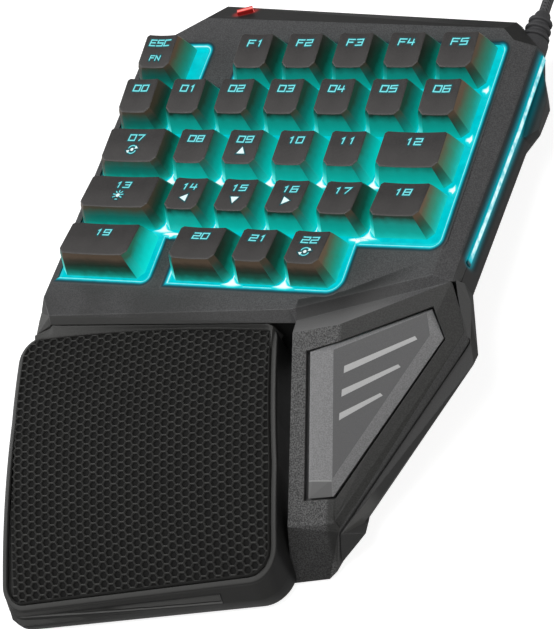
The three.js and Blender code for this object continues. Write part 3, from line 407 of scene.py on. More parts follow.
CORD_DIAMETER = 3.6
LEAD_ROUTE = [
    (139, 17.94, 19.22), (139, 22, 18.7), (139, 26, 17.9), (139.1, 30.5, 16.4), (139.2, 35, 14.1),
    (139.3, 39.5, 11.1), (139.4, 44, 7.9), (139.5, 48.5, 5.1), (139.6, 53, 3.1), (139.7, 57.5, 2.2),
    (139.8, 62, 1.95), (139.8, 67, 1.9), (139.8, 72, 1.9), (139.8, 78, 1.9), (139.8, 84, 1.9),
]
TAIL_ROUTE = [
    (104, 118.79, 6.05), (100, 118.9, 6.05), (96, 119, 6), (91, 119.1, 5.4), (86, 119.1, 4.2), (81, 119, 3),
    (76, 118.8, 2.2), (71, 118.5, 1.95), (66, 118.2, 2.2), (61, 118, 3), (56, 117.8, 3.8), (52, 117.7, 4.1),
    (47, 117.7, 4.1),
]
COIL_CENTRE = (5.459 * PITCH, 4.409 * PITCH)
COIL_STEP = CORD_DIAMETER + 0.55
COIL_INNER = 10
COIL_PASS = 3
COIL_LIFT = 0.1
COIL_LOOPS = 5.5
COIL_OUT_LOOPS = 5.25
COIL_PARTS = 24


def coil_route():
    """In along the lower layer, across the middle and up, and out again along the upper layer."""
    points = []
    for i in range(round((COIL_LOOPS + 1.5 + COIL_OUT_LOOPS) * COIL_PARTS) + 1):
        turn = i / COIL_PARTS
        pass_in, climb, pass_out = (clamped((turn - COIL_LOOPS - late) / 0.5) for late in (0, 0.5, 1))
        wound = max(COIL_LOOPS - turn, 0) + max(turn - COIL_LOOPS - 1.5, 0)
        radius = COIL_INNER + COIL_PASS * (1 - pass_in + pass_out) + COIL_STEP * wound
        angle = 2 * math.pi * turn
        points.append(Vector((
            COIL_CENTRE[0] + radius * math.cos(angle),
            COIL_CENTRE[1] + radius * math.sin(angle),
            CORD_DIAMETER / 2 + COIL_LIFT + COIL_STEP * (1 - math.cos(math.pi * climb)) / 2,
        )))
    return points


def smooth_line(points, parts=2):
    """A curve through all the points, each stretch cut into parts."""
    line = []
    ends = [points[0]] + list(points) + [points[-1]]
    for i in range(1, len(ends) - 2):
        p0, p1, p2, p3 = (Vector(ends[i + k]) for k in (-1, 0, 1, 2))
        for k in range(parts):
            t = k / parts
            line.append(0.5 * (2 * p1 + (p2 - p0) * t + (2 * p0 - 5 * p1 + 4 * p2 - p3) * t ** 2
                               + (3 * p1 - p0 - 3 * p2 + p3) * t ** 3))
    line.append(Vector(points[-1]))
    return line


def braided(name):
    """Woven sleeve: two crossing sets of threads round the cord."""
    s = Shader(name)
    waves = []
    for turn in (0.9, -0.9):
        mapping = s.node("Mapping", Vector=s.place(), Rotation=(0.4, turn, turn))
        wave = s.node("TexWave", wave_type="BANDS", bands_direction="X", Vector=s.result(mapping),
                      Scale=380, Distortion=0.6)
        waves.append(s.result(wave, "Fac"))
    weave = waves[0].most(waves[1])
    return s.coat(s.mix(weave, rgb(24, 24, 25), rgb(92, 92, 94)), 0.75, s.bump(weave, 0.8, 0.2))


def make_cable():
    line = smooth_line(LEAD_ROUTE)[:-1] + coil_route() + smooth_line(TAIL_ROUTE)[1:]
    line = [DESK_METRES @ (p * MM) for p in line]
    data = bpy.data.curves.new("cable", "CURVE")
    data.dimensions = "3D"
    spline = data.splines.new("POLY")
    spline.points.add(len(line) - 1)
    for point, place in zip(spline.points, line):
        point.co = (*place, 1)
    data.bevel_depth = CORD_DIAMETER / 2 * MM
    data.bevel_resolution = 5
    data.materials.append(braided("cable_sleeve"))
    cable = put_in_scene("cable", data)
    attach(cable, BASE)
    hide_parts("cable_lead", "cable_coil", "cable_tail")


make_cable()

# The strap that holds the coil: the ends of its reach from the coil's middle, its foot and its head
TIE_NEAR, TIE_FAR, TIE_FOOT, TIE_HEAD = 7.7, 35.7, -0.25, 8.1
TIE_THICKNESS = 0.3
TIE_HALF_WIDTH = 3.5
TIE_TURN = math.radians(200)


def make_tie():
    """A flat band round all the turns of the coil."""
    def section(more, low, radii):
        near, far, head = TIE_NEAR - more, TIE_FAR + more, TIE_HEAD + more
        return rounded([(near, low), (far, low), (far, head), (near, head)], radii, 6)

    outer = section(TIE_THICKNESS, TIE_FOOT, [1.2, 1.2, 2.4, 2.4])
    inner = section(0, TIE_FOOT + TIE_THICKNESS, [0.9, 0.9, 2.1, 2.1])
    ux, uy = math.cos(TIE_TURN), math.sin(TIE_TURN)
    points = []
    for ring, side in ((inner, -1), (outer, -1), (outer, 1), (inner, 1)):
        aside = side * TIE_HALF_WIDTH
        points += [(COIL_CENTRE[0] + r * ux - aside * uy, COIL_CENTRE[1] + r * uy + aside * ux, z)
                   for r, z in ring]
    count = len(inner)
    faces = []
    for band in range(4):
        a, b = band * count, (band + 1) % 4 * count
        faces += [(a + i, b + i, b + (i + 1) % count, a + (i + 1) % count) for i in range(count)]
    strap = rubber("tie_strap", rgb(40, 40, 41), 0.6, 0.5)
    add_mesh("cord_tie", points, faces, BASE, strap, DESK, sharp=40)


make_tie()


# Keys: label, row, left edge and width, the last two in key pitches

KEYS = [("esc", 0, 0, 1)] + [(f"f{number}", 0, number + 1, 1) for number in range(1, 6)]
for row, left, widths in ((1, 0, [1] * 7), (2, 0, [1.5, 1, 1, 1, 1, 1.5]), (3, 0, [1.75, 1, 1, 1, 1, 1.25]),
                          (4, 0, [1.75]), (4, 2.25, [1.25, 1, 1])):
    for cells in widths:
        KEYS.append((f"{len(KEYS) - 6:02d}", row, left, cells))
        left += cells

CAP_HEIGHT = 8.8
ROW_HEIGHT = (1, 1.07, 0.88, 0.94, 1)
ROW_TILT = (0.127, 0.141, 0.048, -0.169, -0.205)
ROW_LIGHT = (0.62, 0.76, 0.9, 0.95, 0.9)
CAP_DISH = 0.6
CAP_WALL = 1.3
CAP_EDGE = 0.6
# What is cut off a cap's corners at its foot, its top and its back, and off those of its hollow
FOOT_CUT, TOP_CUT, BACK_CUT = 2.3, 1.8, 0.8
HOLLOW_FOOT_CUT, HOLLOW_TOP_CUT, HOLLOW_BACK_CUT = 1.4, 1.2, 0.6
# The rounding of those cuts, in front and behind
FRONT_ROUND, BACK_ROUND = 0.45, 0.27
END_PARTS = 10
TOP_FRONT = -PITCH / 2 + 3.75
TOP_BACK = PITCH / 2 - 2
TOP_MIDDLE = (TOP_FRONT + TOP_BACK) / 2
TOP_SIDE = 3.2
BASE_SIDE = 0.5
BASE_END = PITCH / 2 - 1.1
SKIRT_DROP = 0.15
STEM_SIDES = 20
STEM_RADIUS = 2.7
STEM_TIP = 2.3
STEM_END = -8.2
STEM_ROOT = 0.3
STEM_TAPER = 0.6


def cap_top(width, row):
    """Height of a keytop above the cell's own plane, in millimetres."""
    half = width / 2 - TOP_SIDE
    return lambda x, y: (CAP_HEIGHT * ROW_HEIGHT[row]
                         + CAP_HEIGHT * ROW_TILT[row] * (y - TOP_MIDDLE) / (TOP_BACK - TOP_FRONT)
                         - CAP_DISH * (1 - (x / half) ** 2))


def cap_outline(half, front, back, front_corner, back_corner):
    """A cap's outline with cut corners, its front and back cut into parts."""
    corners = [
        (-half, front + front_corner), (-half + front_corner, front), (half - front_corner, front),
        (half, front + front_corner), (half, back - back_corner), (half - back_corner, back),
        (-half + back_corner, back), (-half, back - back_corner),
    ]
    points = rounded(corners, [FRONT_ROUND] * 4 + [BACK_ROUND] * 4, 3)
    result = []
    for i, p in enumerate(points):
        result.append(p)
        if i in (7, 23):
            result += [between(p, points[i + 1], k / END_PARTS) for k in range(1, END_PARTS)]
    return result


def keycap_mesh(width, row):
    top = cap_top(width, row)
    foot = cap_outline(width / 2 - BASE_SIDE, -BASE_END, BASE_END, FOOT_CUT, BACK_CUT)
    base_ring = [(x, y, -SKIRT_DROP) for x, y in foot]
    half = width / 2 - TOP_SIDE
    top_ring = [(x, y, top(x, y)) for x, y in cap_outline(half, TOP_FRONT, TOP_BACK, TOP_CUT, BACK_CUT)]
    rings = [base_ring]
    for share in (0.08, 0.3, 0.55, 0.8):
        rings.append([between(a, b, share) for a, b in zip(base_ring, top_ring)])
    for inset, drop in rounding(CAP_EDGE, 6):
        ring = cap_outline(half - inset, TOP_FRONT + inset, TOP_BACK - inset, TOP_CUT - inset / 2, BACK_CUT)
        rings.append([(x, y, top(x, y) - drop) for x, y in ring])
    inner = rings[-1]
    for share in (0.85, 0.65, 0.42, 0.2):
        ring = [(x * share, TOP_MIDDLE + (y - TOP_MIDDLE) * share) for x, y, _ in inner]
        rings.append([(x, y, top(x, y)) for x, y in ring])
    count = len(base_ring)
    last = (len(rings) - 1) * count
    points, faces = tube(rings)
    points.append((0, TOP_MIDDLE, top(0, TOP_MIDDLE)))
    faces += [(last + i, last + (i + 1) % count, len(points) - 1) for i in range(count)]
    # The hollow underside and the stem
    ceiling = CAP_HEIGHT * (ROW_HEIGHT[row] - abs(ROW_TILT[row]) / 2) - CAP_DISH - CAP_WALL
    low = cap_outline(width / 2 - BASE_SIDE - CAP_WALL, -BASE_END + CAP_WALL, BASE_END - CAP_WALL,
                      HOLLOW_FOOT_CUT, HOLLOW_BACK_CUT)
    high = cap_outline(half - CAP_WALL / 2, TOP_FRONT + CAP_WALL / 2, TOP_BACK - CAP_WALL / 2,
                       HOLLOW_TOP_CUT, HOLLOW_BACK_CUT)
    start = len(points)
    points += [(x, y, -SKIRT_DROP) for x, y in low] + [(x, y, ceiling) for x, y in high]
    points.append((0, TOP_MIDDLE, ceiling))
    for i in range(count):
        j = (i + 1) % count
        faces.append((j, i, start + i, start + j))
        faces.append((start + j, start + i, start + count + i, start + count + j))
        faces.append((start + count + j, start + count + i, start + 2 * count))
    stem = [[(x, y, z) for x, y in circle(0, 0, radius, STEM_SIDES)] for z, radius in (
        (ceiling + STEM_ROOT, STEM_RADIUS), (STEM_END + STEM_TAPER, STEM_RADIUS), (STEM_END, STEM_TIP))]
    stem_points, stem_faces = tube(stem, True, len(points))
    points += stem_points
    faces += stem_faces + [tuple(reversed(range(len(points) - STEM_SIDES, len(points))))]
    return points, faces


def keycap_material():
    """Satin grey plastic with a painted sheen towards the front of each top and a painted warm highlight
    along its edges. Its sides are painted dark, as in shade, and glow with painted light: cyan from the lit
    well below, warm daylight on the outer sides.
    """
    s = Shader("keycap_plastic")
    x, y, z = s.split(s.place())
    fine = s.noise(0.35, 4.0)
    s.shade = s.mix(s.fit(fine, 0.25, 0.75), rgb(42, 41, 41), rgb(62, 60, 60))
    s.paint(s.noise(6.0) * 0.35, rgb(94, 92, 91))
    # Painted sheen: each top painted lighter towards its front.
    s.paint(s.fit(y, 5.5 * MM, -5.5 * MM, 0.0, 0.35), rgb(96, 94, 93))
    turned = s.node("VectorTransform", s.normal(), vector_type="NORMAL", convert_from="WORLD",
                    convert_to="OBJECT")
    across, along, up = s.split(s.result(turned))
    skirt = s.fit(up, 0.72, 0.52)
    right = s.fit(across, 0.45, 0.75)
    ahead = s.fit(along, -0.3, -0.5)
    # Painted light on the sides, by height: the well's cyan at the foot, warm daylight higher up on the open
    # sides.
    level = s.math("DIVIDE", z * (1 / MM) + s.noise(2.6) * 1.6, 8.6, clamp=True)
    front_light = s.ramp(level, (0.0, 0, 205, 196), (0.35, 0, 170, 158), (0.7, 0, 150, 138),
                         (0.88, 0, 112, 100), (1.0, 4, 48, 38))
    side_light = s.ramp(level, (0.0, 0, 190, 178), (0.3, 0, 128, 112), (0.6, 6, 64, 50), (1.0, 22, 32, 22))
    open_light = s.ramp(level, (0.0, 0, 190, 180), (0.2, 0, 128, 114), (0.4, 0, 74, 60), (0.62, 10, 38, 26),
                        (0.82, 44, 38, 26), (1.0, 74, 60, 46))
    outer_light = s.ramp(level, (0.0, 0, 220, 216), (0.2, 0, 180, 168), (0.45, 34, 150, 126),
                         (0.7, 64, 124, 98), (0.9, 88, 96, 72), (1.0, 104, 84, 64))
    bright_light = s.ramp(level, (0.0, 0, 236, 228), (0.4, 0, 206, 196), (0.8, 10, 150, 136),
                          (1.0, 36, 100, 80))
    foot_light = s.ramp(level, (0.0, 120, 250, 246), (0.5, 0, 190, 180), (1.0, 0, 70, 60))
    openness = s.attribute("open")
    light = s.mix(right, front_light, side_light)
    light = s.mix(openness, light, s.mix(right * s.fit(openness, 0.7, 0.8), open_light, outer_light))
    light = s.mix(s.fit(across, 0.3, 0.5) * ahead * 0.6, light, open_light)
    light = s.mix(s.attribute("bright") * right, light, bright_light)
    light = s.mix(s.fit(across, -0.3, -0.5) * ahead * s.fit(openness, 0.6, 0.5), light, foot_light)
    normal = s.rounded(0.25)
    # The sides painted near black, as in shade, under their painted light; a painted warm highlight along the
    # top edges.
    s.paint(skirt, rgb(14, 14, 11))
    s.paint(s.edges(normal, 5.5) * s.fit(z, 4 * MM, 6 * MM), rgb(176, 154, 138))
    return s.coat(s.shade, s.fit(fine, 0.2, 0.8, 0.38, 0.52), s.bump(fine, 0.18, 0.04, normal), 0.35,
                  light, skirt * s.attribute("lit"))


def side_openness(label, row, left, cells):
    """How much daylight reaches a key's front and right side: 0 between keys, 1 at the outside."""
    front = 1.0 if row == 4 else (0.7 if left == 0 else (0.15 if label in ("17", "18") else 0.0))
    right = 0.85 if left + cells == 7 or label in ("esc", "22") else (
        0.5 if left == 0 and row in (1, 2, 3) else 0.0)
    return front, right


# Keys whose right side stands over a bright spot, and how strongly it shows
BRIGHT_SIDES = {"19": 1.0, "11": 0.75, "09": 0.55, "10": 0.55, "08": 0.4, "14": 0.2, "15": 0.35, "16": 0.5,
                "01": 0.2, "02": 0.25, "03": 0.3, "04": 0.35, "05": 0.35}
cap_material = keycap_material()
cap_shapes = {}


def key_centre(row, left, cells):
    return Vector(((left + cells / 2) * PITCH, -(row + 0.5) * PITCH, 0))


def make_keycap(label, row, left, cells):
    if (row, cells) not in cap_shapes:
        cap_shapes[row, cells] = keycap_mesh(cells * PITCH, row)
    points, faces = cap_shapes[row, cells]
    metres = [tuple(c * MM for c in p) for p in points]
    mesh = new_mesh(f"keycap_{label}", metres, faces, cap_material, sharp=32)
    front, right = side_openness(label, row, left, cells)
    other = 1.0 if left == 0 and row < 4 else 0.3
    set_values(mesh, "open", "FACE", [
        front if face.normal.y < -0.8 else (right if face.normal.x > 0.3 else other)
        for face in mesh.polygons])
    set_values(mesh, "bright", "FACE", [BRIGHT_SIDES.get(label, 0.0)] * len(mesh.polygons))
    set_values(mesh, "lit", "FACE", [ROW_LIGHT[row]] * len(mesh.polygons))
    piece = put_in_scene(f"keycap_{label}", mesh)
    piece.matrix_world = DECK_METRES @ Matrix.Translation(key_centre(row, left, cells) * MM)
    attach(piece, f"key_{label}")
    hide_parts(f"key_{label}")


for key in KEYS:
    make_keycap(*key)


# Legends: strokes laid on the keytops, each with a soft rim of light

GLYPHS = {
    "0": [[(0, 0), (1, 0), (1, 1), (0, 1), (0, 0)]],
    "1": [[(0.3, 0.82), (0.55, 1), (0.55, 0)]],
    "2": [[(0, 1), (1, 1), (1, 0.5), (0, 0.5), (0, 0), (1, 0)]],
    "3": [[(0, 1), (1, 1), (1, 0), (0, 0)], [(0.25, 0.5), (1, 0.5)]],
    "4": [[(0.1, 1), (0, 0.38), (1, 0.38)], [(0.8, 0.9), (0.8, 0)]],
    "5": [[(1, 1), (0, 1), (0, 0.55), (1, 0.55), (1, 0), (0, 0)]],
    "6": [[(0.95, 1), (0, 1), (0, 0), (1, 0), (1, 0.52), (0, 0.52)]],
    "7": [[(0, 1), (1, 1), (0.45, 0)]],
    "8": [[(0, 0.5), (0, 0), (1, 0), (1, 1), (0, 1), (0, 0.5), (1, 0.5)]],
    "9": [[(0.05, 0), (1, 0), (1, 1), (0, 1), (0, 0.48), (1, 0.48)]],
    "E": [[(1, 1), (0, 1), (0, 0), (1, 0)], [(0, 0.52), (0.85, 0.52)]],
    "S": [[(1, 1), (0, 1), (0, 0.52), (1, 0.52), (1, 0), (0, 0)]],
    "C": [[(1, 1), (0, 1), (0, 0), (1, 0)]],
    "F": [[(1, 1), (0, 1), (0, 0)], [(0, 0.52), (0.8, 0.52)]],
    "N": [[(0, 0), (0, 1), (1, 0), (1, 1)]],
}
LETTER_SLANT = 0.12
STROKE_PART = 0.6
# Half the width of a stroke, a small stroke, and the lit rim of a stroke and of a sign, and how high they lie
STROKE_HALF, SMALL_HALF, RIM_HALF, SIGN_RIM_HALF = 0.23, 0.19, 0.8, 0.6
STROKE_LIFT, RIM_LIFT, SIGN_LIFT = 0.07, 0.035, 0.08


def arc(cx, cy, radius, start, end, steps=14):
    angles = [math.radians(start + (end - start) * k / steps) for k in range(steps + 1)]
    return [(cx + radius * math.cos(a), cy + radius * math.sin(a)) for a in angles]


def text_strokes(text, cx, cy, width, height, gap):
    total = len(text) * width + (len(text) - 1) * gap
    strokes = []
    for i, letter in enumerate(text):
        left = cx - total / 2 + i * (width + gap)
        for line in GLYPHS[letter]:
            strokes.append([(left + x * width + LETTER_SLANT * height * (y - 0.5), cy + (y - 0.5) * height)
                            for x, y in line])
    return strokes


def ribbon(line, half, surface, lift):
    """A flat band along a line, bright along its middle and fading out at its two sides."""
    line = [Vector(p) for p in line]
    fine = []
    for a, b in zip(line, line[1:]):
        parts = max(1, round((b - a).length / STROKE_PART))
        fine += [a.lerp(b, k / parts) for k in range(parts)]
    fine.append(line[-1])
    points, glow, faces = [], [], []
    for i, p in enumerate(fine):
        before = (p - fine[i - 1]).normalized() if i else None
        after = (fine[i + 1] - p).normalized() if i + 1 < len(fine) else None
        ahead = ((before or after) + (after or before)).normalized()
        across = Vector((-ahead.y, ahead.x))
        stretch = 1 / max(0.5, across.dot(Vector((-(after or before).y, (after or before).x))))
        end = 0 if before and after else (-1 if after else 1)
        middle = p + ahead * (end * half * 0.8)
        for side in (-1, 0, 1):
            q = middle + across * (side * half * stretch)
            points.append((q.x, q.y, surface(q.x, q.y) + lift))
            glow.append(0.0 if side else (0.6 if end else 1.0))
    for i in range(len(fine) - 1):
        a = 3 * i
        faces += [(a, a + 1, a + 4, a + 3), (a + 1, a + 2, a + 5, a + 4)]
    return points, faces, glow


def legend_material(name, color, strength):
    s = Shader(name)
    cloud = s.noise(0.5)
    return s.coat(rgb(40, 80, 82), 0.5, s.bump(cloud, 0.1, 0.02),
                  glow=s.mix(s.fit(cloud, 0.3, 0.7), color, scaled(color, 1.25)), strength=strength)


def halo_material():
    """The keytop's plastic again, lit round a legend."""
    s = Shader("legend_halo")
    fine = s.noise(0.35, 4.0)
    glow = s.attribute("glow")
    satin = s.mix(s.fit(fine, 0.25, 0.75), rgb(62, 59, 59), rgb(82, 78, 77))
    return s.coat(s.mix(s.fit(glow, 0.0, 0.45), satin, rgb(4, 34, 38)), s.fit(fine, 0.2, 0.8, 0.38, 0.52),
                  s.bump(fine, 0.18, 0.04), glow=s.mix(glow, rgb(0, 20, 24), rgb(0, 104, 112)),
                  strength=s.fit(glow, 0.0, 0.6))


core_material = legend_material("legend_light", rgb(112, 216, 222), 0.95)
white_material = legend_material("legend_white", rgb(222, 248, 248), 1.0)
halo = halo_material()


def flat_shape(outline, surface, lift):
    """A filled convex shape as a fan, on the keytop."""
    count = len(outline)
    middle = tuple(sum(p[k] for p in outline) / count for k in (0, 1))
    points = [(x, y, surface(x, y) + lift) for x, y in outline + [middle]]
    return points, [(i, (i + 1) % count, count) for i in range(count)], [1.0] * len(points)


def gather(parts):
    points, faces, glow = [], [], []
    for p, f, g in parts:
        faces += [tuple(i + len(points) for i in face) for face in f]
        points += p
        glow += g
    return points, faces, glow


def make_legend(label, row, left, cells):
    surface = cap_top(cells * PITCH, row)
    matrix = DECK @ Matrix.Translation(key_centre(row, left, cells))
    upper, lower = TOP_BACK - 3.75, TOP_FRONT + 4.9
    small, shapes = [], []
    if label == "esc":
        strokes = text_strokes("ESC", -0.1, upper + 0.4, 2.1, 2.2, 0.75)
        small = text_strokes("FN", -0.3, lower - 0.9, 1.6, 1.75, 0.6)
    else:
        strokes = text_strokes(label.upper(), 0.1, upper, 2.35, 2.2, 0.85)
    arrow = {"09": 90, "14": 180, "15": 270, "16": 0}.get(label)
    if arrow is not None:
        shapes.append(arc(0, lower, 1.75, arrow, arrow + 240, 2))
    if label in ("07", "22"):
        small += [arc(0, lower, 1.55, 20, 160), arc(0, lower, 1.55, 200, 340)]
        shapes += [arc(1.45, lower + 0.75, 0.75, 100, 340, 2), arc(-1.45, lower - 0.75, 0.75, 280, 520, 2),
                   arc(0, lower, 0.6, 0, 330, 10)]
    if label == "13":
        small += [[(0.55 * 1.9 * math.cos(a), lower + 0.3 + 1.15 * math.sin(a)),
                   (1.9 * math.cos(a), lower + 0.3 + 1.9 * math.sin(a))]
                  for a in (math.radians(v) for v in range(-30, 211, 40))]
        shapes.append(arc(0, lower + 0.2, 0.75, 0, 330, 10))
        small.append([(-0.3, lower - 1.5), (0.3, lower - 1.5)])

    def add(name, parts, material, slot):
        points, faces, glow = gather(parts)
        add_mesh(f"{name}_{label}", points, faces, f"key_{label}", material, matrix, glow)

    cores = [ribbon(line, STROKE_HALF, surface, STROKE_LIFT) for line in strokes]
    cores += [ribbon(line, SMALL_HALF, surface, STROKE_LIFT) for line in small]
    add("legend", cores, core_material, "light_guide")
    rims = [ribbon(line, RIM_HALF, surface, RIM_LIFT) for line in strokes + small]
    rims += [ribbon(outline + [outline[0]], SIGN_RIM_HALF, surface, RIM_LIFT) for outline in shapes]
    add("legend_glow", rims, halo, "keycap")
    if shapes:
        signs = [flat_shape(outline, surface, SIGN_LIFT) for outline in shapes]
        add("legend_sign", signs, white_material, "light_guide")


for key in KEYS:
    make_legend(*key)


# Shells and the other carried-over pieces

def dress(material, *nodes):
    for name in nodes:
        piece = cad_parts[name]
        piece.data.materials.clear()
        piece.data.materials.append(material)


STRIP_BACK, STRIP_FRONT = pitches((7.612, 0.047), (7.468, -4.094))
STRIP_LEVEL = -9.15
STRIP_BOW = -0.0006
LENS_LINE = pitches((1.438, 0.8), (1.69, 0.93))
# The front edge of the deck above the thumb module, from the left to the right
LEDGE = pitches((4.85, -5.69), (5.643, -5.486), (7.076, -4.756))
# The slot along the palm rest's front: level over the desk at the left, and its slope to the right
SLOT_FOOT, SLOT_FOOT_SLOPE = 8.85, -0.0155
SLOT_HEAD, SLOT_HEAD_SLOPE = 9.0, 0.0235


def off_lens_line(s):
    """How far a point lies from the lens's middle line, seen from above the deck, in millimetres."""
    x, y, z = s.deck_place()
    (x0, y0), (x1, y1) = LENS_LINE
    long = math.dist(*LENS_LINE)
    ux, uy = (x1 - x0) / long, (y1 - y0) / long
    dx, dy = x - x0, y - y0
    along, across = dx * ux + dy * uy, dx * uy - dy * ux
    beyond = along - along.most(0.0).least(long)
    return (across * across + beyond * beyond).root()


def add_lens_glow(s, glow, strength):
    """Adds the lens's red glow to a shell that already gives off the strip's light."""
    near = s.fit(off_lens_line(s), 3.0, 0.5)
    s.coat(glow=s.mix(s.fit(near, 0.0, 0.05), glow, rgb(150, 12, 10)), strength=strength + near ** 1.6 * 0.9)


def add_strip_halo(s, reach):
    """Cyan light from the light strip painted on a shell beside it, the shell painted near black under it.
    Returns its colour and strength.
    """
    x, y, z = s.deck_place()
    (x0, y0), (x1, y1) = STRIP_BACK, STRIP_FRONT
    bow = (y - y0) * (y - y1) * STRIP_BOW
    dx = (x - ((y - y0) * ((x1 - x0) / (y1 - y0)) + x0 + bow)) * 1.3
    dz = (z - STRIP_LEVEL) * 0.85
    near = s.fit((dx * dx + dz * dz).root(), reach * 1.1, 0.8).root()
    spill = near * (s.fit(y, y1 - 1.5, y1 + 1.5) * s.fit(y, y0 + 1.5, y0 - 1.5))
    glow = s.mix(near ** 5.0, rgb(0, 18, 21), rgb(0, 138, 152))
    s.paint(s.fit(spill, 0.0, 0.75), rgb(4, 14, 16))
    s.coat(s.shade, glow=glow, strength=spill)
    return glow, spill


def add_top_zones(s):
    """Painted light and shade on the upper shell by which way its faces look: a light-to-dark ramp down the
    ledge above the module, light on the module's right faces, shade near the front left, on the right walls
    and on the back bevel, front walls plain grey at the left and dark under the module. The module's rough
    rim and smooth surround are two finishes.
    """
    x, y, z = s.deck_place()
    levels = []
    for (x0, y0), (x1, y1) in zip(LEDGE, LEDGE[1:]):
        slope = (y1 - y0) / (x1 - x0)
        levels.append(x * slope + (y1 - slope * x1))
    above = y - levels[0].most(levels[1])
    module = s.span(x, 4.84, 4.88) * s.fit(above, 10.2, 9.9)
    below = s.fit(above, 0.1, -0.1)
    rightward = s.facing(1, 0, 0)
    speckle = s.fit(s.noise(0.42, 3.0), 0.35, 0.65)
    # Painted light and shade down the ledge above the module: light at its foot, dark under the deck's edge.
    ledge_light_and_shade = s.ramp(s.math("DIVIDE", above, 10.0, clamp=True),
                   (0.0, 108), (0.35, 92), (0.72, 52), (0.9, 36), (1.0, 42))
    s.paint(module * s.fit(above, -0.1, 0.1) * s.span(x, 7.0, 6.0) * 0.85, ledge_light_and_shade)
    rim = s.mix(speckle, rgb(50), rgb(104))
    surround = s.mix(speckle, rgb(46, 46, 45), rgb(60, 60, 59))
    s.paint(module * below, s.mix(s.span(x, 5.62, 5.72), rim, surround))
    # Painted light on the module's right-facing faces.
    s.paint(module * (s.fit(rightward, 0.6, 0.7) * below), s.mix(speckle, rgb(66), rgb(84)))
    # Painted shade near the front left, its edge broken up by noise.
    shade_near_left = s.span(y, -4.2, -5.4) * s.span(x, 4.4, 2.2)
    s.paint(shade_near_left * s.fit(s.noise(16.0), 0.3, 0.7, 0.25, 0.6), rgb(50, 50, 49))
    # Painted shade on the right-facing walls behind the module.
    s.paint(s.fit(rightward, 0.55, 0.75) * s.span(y, -4.6, -4.4), s.mix(speckle, rgb(54), rgb(70)))
    # Front walls: painted plain grey at the left, painted shade under the module.
    s.paint(s.fit(s.facing(0, -1, 0), 0.7, 0.86) * 0.9,
            s.mix(s.span(x, 4.7, 4.8), rgb(82, 82, 81), rgb(20, 20, 19)))
    # Painted shade on the back bevel.
    s.paint(s.fit(s.facing(0, 1, 0), 0.28, 0.4) * 0.9, s.mix(speckle, rgb(26, 26, 25), rgb(38, 38, 37)))


def add_lower_zones(s):
    """A painted highlight on the flank's end facet and painted shade on the wall under the module's front."""
    x, y, z = s.deck_place()
    lit_end_facet = s.fit(s.facing(*Vector((0.78, -0.62, 0.05)).normalized()), 0.86, 0.95)
    s.paint(lit_end_facet * s.span(y, -7.6, -7.9), rgb(92, 92, 91))
    s.paint(s.fit(s.facing(0, -1, 0), 0.8, 0.9) * s.span(y, -8.0, -8.3), rgb(26, 26, 25))


def add_palm_zones(s):
    """Painted light and shade on the palm rest: shade on its right side; along the front, a dark outline
    round the slot, a lit band inside it at the right and shade below it at the left; and a lighter top.
    """
    x, y, z = s.deck_place()
    s.paint(s.fit(s.facing(1, 0, 0), 0.5, 0.8), rgb(30))
    height = z * math.cos(DECK_LEAN) + y * -math.sin(DECK_LEAN) + DECK_HEIGHT
    above = height - (x * SLOT_FOOT_SLOPE + SLOT_FOOT)
    below = x * SLOT_HEAD_SLOPE + SLOT_HEAD - height
    inner = above.least(below).least(3.86 * PITCH - x)
    front = s.fit(s.facing(0, -1, 0), 0.3, 0.5) * s.span(y, -8.8, -9.0)
    s.paint(s.fit(above, 0.0, -0.4) * front * s.span(x, 2.6, 1.4) * 0.6, rgb(22, 22, 21))
    s.paint(s.fit(inner, 0.2, 0.4) * front * s.span(x, 1.7, 2.1), rgb(74, 74, 73))
    s.paint(s.fit(abs(inner), 0.42, 0.2) * front * s.fit(x, 0.0, 20.0), rgb(8))
    s.paint(s.fit(s.facing(0, 0, 1), 0.6, 0.9), rgb(70, 70, 69))
    s.coat(s.shade)


# The edge colours below are the painted highlights along each shell's edges.
top_shader = moulded("top_shell_plastic", rgb(80, 80, 81), 0.5, grain=0.34, grain_size=0.42, relief=0.5,
                     edge=rgb(140), radius=0.55, edge_gain=1.6)
add_top_zones(top_shader)
add_lens_glow(top_shader, *add_strip_halo(top_shader, 5.0))
lower_shader = moulded("lower_shell_plastic", rgb(56), 0.52, grain=0.15, edge=rgb(100), edge_gain=1.3)
add_lower_zones(lower_shader)
add_strip_halo(lower_shader, 4.5)
palm_shader = moulded("palm_rest_plastic", rgb(42, 42, 41), 0.48, grain=0.14, relief=0.25, edge=rgb(110),
                      edge_gain=1.2)
add_palm_zones(palm_shader)
dress(top_shader.material, "top_shell")
dress(lower_shader.material, "bottom_shell")
dress(palm_shader.material, "palm_rest_base")

steel = brushed("steel_plate", (0.55, 0.56, 0.58, 1))
dress(rubber("foot_rubber", rgb(34, 34, 35)), *(f"foot_{number}" for number in range(1, 6)))
dress(moulded("switch_black", rgb(28, 28, 29), 0.5, spread=0.08, radius=0.2).material, "thumb_switch")
dress(rubber("dome_silicone", rgb(205, 203, 196), 0.8), "dome_sheet")
dress(moulded("membrane_film", rgb(170, 180, 186), 0.3, spread=0.08, radius=0.1).material, "membrane")
dress(board("board_green"), "led_board", "controller_board", "thumb_board")
dress(steel, "backplate", *(f"screw_{number}" for number in range(1, 5)))
dress(brushed("plug_plating", (0.72, 0.72, 0.74, 1)), "usb_plug_shell")
dress(moulded("plug_grip", rgb(40, 40, 41), 0.5, spread=0.08, relief=0.5).material, "usb_plug_body")


# Light guide below and round the keys, light strip and lens

def camera_only(s, seen, cast):
    """One strength as the camera sees it, another for the light it casts."""
    ray = s.result(s.node("LightPath"), "Is Camera Ray")
    return ray * seen + (1.0 - ray) * cast


